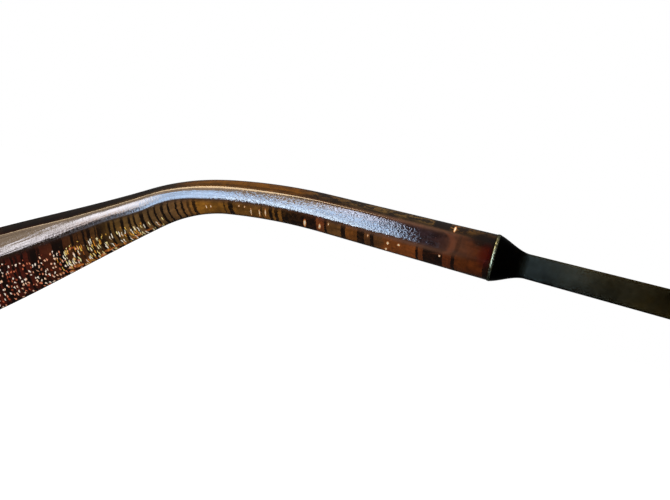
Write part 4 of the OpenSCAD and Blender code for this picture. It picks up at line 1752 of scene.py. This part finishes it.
@dataclass
class Studio:
    """Pale table, white surroundings, soft lamps, mirrored cards and the camera."""

    table_size: float = 3000.0
    table_gap: float = 0.02
    table_tones: tuple[Colour, Colour] = ((0.34, 0.34, 0.335), (0.37, 0.37, 0.366))
    table_glow: float = 0.79
    table_mirrored: float = 0.2
    room_levels: tuple[float, float] = (0.04, 0.16)
    soft_light: float = 0.62
    target_back: float = 84.3
    target_up: float = -3.3
    distance: float = 125.0
    focal_pixels: float = 1250.0
    azimuth: float = 10.0
    roll: float = 15.05
    clip_m: tuple[float, float] = (0.005, 20.0)
    front_back: float = -68.0
    front_up: float = 30.0
    temple_lamps: tuple[Lamp, ...] = (
        Lamp("overhead", 0, 80, 900, (900, 900), SOFT_WHITE, 1.1, Lit.PLAIN),
        Lamp("ceiling", 0, 80, 900, (900, 900), SOFT_WHITE, 0.15, Lit.MIRRORED),
        Lamp("ridge_lamp", 36, 36, 450, (190, 250), shade(255, 224, 180), 18.0, Lit.MIRRORED),
        Lamp("fill", 12, 4, 260, (220, 70), (1.0, 0.97, 0.92), 7.0, Lit.PLAIN),
    )
    front_lamps: tuple[Lamp, ...] = (
        Lamp("front_box", -90, 25, 450, (600, 280), SOFT_WHITE, 2.4, Lit.MIRRORED),
        Lamp("back_box", 90, 25, 450, (600, 280), SOFT_WHITE, 2.4, Lit.MIRRORED),
        Lamp("top_box", 0, 89, 400, (500, 300), SOFT_WHITE, 3.5, Lit.MIRRORED),
    )
    cards: tuple[Card, ...] = (
        Card("window", WINDOW, (0.52, 0.71, 1.0), 18.0),
        Card("glint", GLINT, (0.66, 0.82, 1.0), 25.0),
        Card("lilac", LILAC, (0.72, 0.79, 1.0), 25.0),
        Card("band", BAND, (1.0, 0.95, 0.99), 19.0),
        Card("streak", STREAK, (1.0, 0.79, 0.70), 14.0),
        Card("warm_wall", WARM_WALL, (1.0, 0.75, 0.52), 4.3),
        Card("dusk", DUSK, (0.75, 0.82, 1.0), 1.8),
    )

    @staticmethod
    def group(name: str, pieces: Iterable[bpy.types.Object]) -> bpy.types.Collection:
        """Lists pieces for a light that shows on them alone.

        Args:
            name: What the light is to them.
            pieces: The pieces.

        Returns:
            The list.
        """
        listed = bpy.data.collections.new(name)
        for piece in pieces:
            listed.objects.link(piece)
        return listed

    def build(self, temples: Sequence[Temple]) -> None:
        """Makes the surroundings and the camera.

        Args:
            temples: The left temple, which the camera looks at, and the right one.
        """
        scene = bpy.context.scene
        scene.view_settings.view_transform = "Standard"
        temple = temples[0]
        long_pieces = [piece for each in temples for piece in each.made]
        mirrored_in = self.group("mirrored_in", temple.made)
        shown_on = self.group("shown_on", (
            thing for thing in list(scene.objects)
            if thing.type == "MESH" and thing not in long_pieces and "lens" not in thing.name
        ))
        self.table()
        self.surroundings()
        for lamp in self.temple_lamps:
            lamp.build(Vector(temple.world(np.array([0.0, self.target_back, self.target_up]))) * MM)
        for lamp in self.front_lamps:
            lamp.build(Vector((0.0, self.front_back, self.front_up)) * MM, shown_on)
        for card in self.cards:
            card.build(temple, mirrored_in)
        self.camera(temple)

    def table(self) -> None:
        """Makes the pale table, which keeps the object's shadow."""
        half = self.table_size / 2 * MM
        mesh = bpy.data.meshes.new("table")
        corners = [(x * half, y * half, -self.table_gap * MM) for x, y in ((-1, -1), (1, -1), (1, 1), (-1, 1))]
        mesh.from_pydata(corners, [], [(0, 1, 2, 3)])
        table = bpy.data.objects.new("table", mesh)
        bpy.context.scene.collection.objects.link(table)
        table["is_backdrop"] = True
        material, nodes = new_material("table")
        colour = nodes.blend(*self.table_tones, nodes.noise(nodes.place(), 0.02, 3.0))
        colour = nodes.dim(colour, mix(1.0, self.table_mirrored, nodes.ray("Glossy")))
        diffuse = nodes.add("ShaderNodeBsdfDiffuse", inputs={"Color": colour})
        glow = {"Color": WHITE, "Strength": self.seen(nodes) * self.table_glow}
        white = nodes.add("ShaderNodeEmission", inputs=glow)
        both = nodes.add("ShaderNodeAddShader", inputs={0: diffuse.outputs[0], 1: white.outputs[0]})
        nodes.add("ShaderNodeOutputMaterial", inputs={"Surface": both.outputs[0]})
        mesh.materials.append(material)

    @staticmethod
    def seen(nodes: Recipe) -> Signal:
        """Returns 1 for rays that show the background, straight or through glass."""
        return nodes.ray("Camera").most(nodes.ray("Transmission"))

    def surroundings(self) -> None:
        """Makes the world: white where it is seen, soft light elsewhere, and a darker room when mirrored."""
        world = bpy.data.worlds.new("surroundings")
        bpy.context.scene.world = world
        world.use_nodes = True
        nodes = Recipe(world.node_tree)
        up = nodes.split(nodes.add("ShaderNodeTexCoord").outputs["Generated"])[2]
        room = mix(*self.room_levels, up.step(0.1, 0.9))
        level = mix(mix(self.soft_light, room, nodes.ray("Glossy")), 1.0, self.seen(nodes))
        light = nodes.add("ShaderNodeBackground", inputs={"Color": WHITE, "Strength": level})
        nodes.add("ShaderNodeOutputWorld", inputs={"Surface": light.outputs[0]})

    def camera(self, temple: Temple) -> None:
        """Places the camera inside the temples, looking out at the left one.

        Args:
            temple: The left temple.
        """
        turn, roll = math.radians(self.azimuth), math.radians(self.roll)
        look = np.array([math.cos(turn), math.sin(turn), 0.0])
        level = np.array([math.sin(turn), -math.cos(turn), 0.0])
        up = np.array([0.0, 0.0, 1.0])
        right = level * math.cos(roll) + up * math.sin(roll)
        above = up * math.cos(roll) - level * math.sin(roll)
        target = np.array([0.0, self.target_back, self.target_up])
        origin = temple.world(np.zeros(3))
        axes = [Vector(temple.world(axis) - origin).normalized() for axis in (right, above, -look)]
        data = bpy.data.cameras.new("camera")
        data.sensor_width = SENSOR_WIDTH
        data.lens = self.focal_pixels / PHOTO_WIDTH * SENSOR_WIDTH
        data.clip_start, data.clip_end = self.clip_m
        camera = bpy.data.objects.new("camera", data)
        place = Matrix(axes).transposed().to_4x4()
        place.translation = Vector(temple.world(target - look * self.distance)) * MM
        camera.matrix_world = place
        bpy.context.scene.collection.objects.link(camera)
        bpy.context.scene.camera = camera


def corners(box: Sequence[Vector]) -> list[list[float]]:
    """Returns a box's two corners as plain numbers."""
    return [[float(x) for x in corner] for corner in box]


def main() -> None:
    """Builds every sub-assembly and the studio in order."""
    logging.basicConfig(level=logging.INFO, format="%(name)s: %(message)s")
    solid_box = corners(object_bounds())
    wardrobe = Wardrobe.make()
    temples = [Temple(side) for side in Side]
    for temple in temples:
        temple.build(wardrobe)
    Front().build(wardrobe)
    Studio().build(temples)
    {"cad": solid_box, "visual": corners(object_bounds())}


if __name__ == "__main__":
    main()
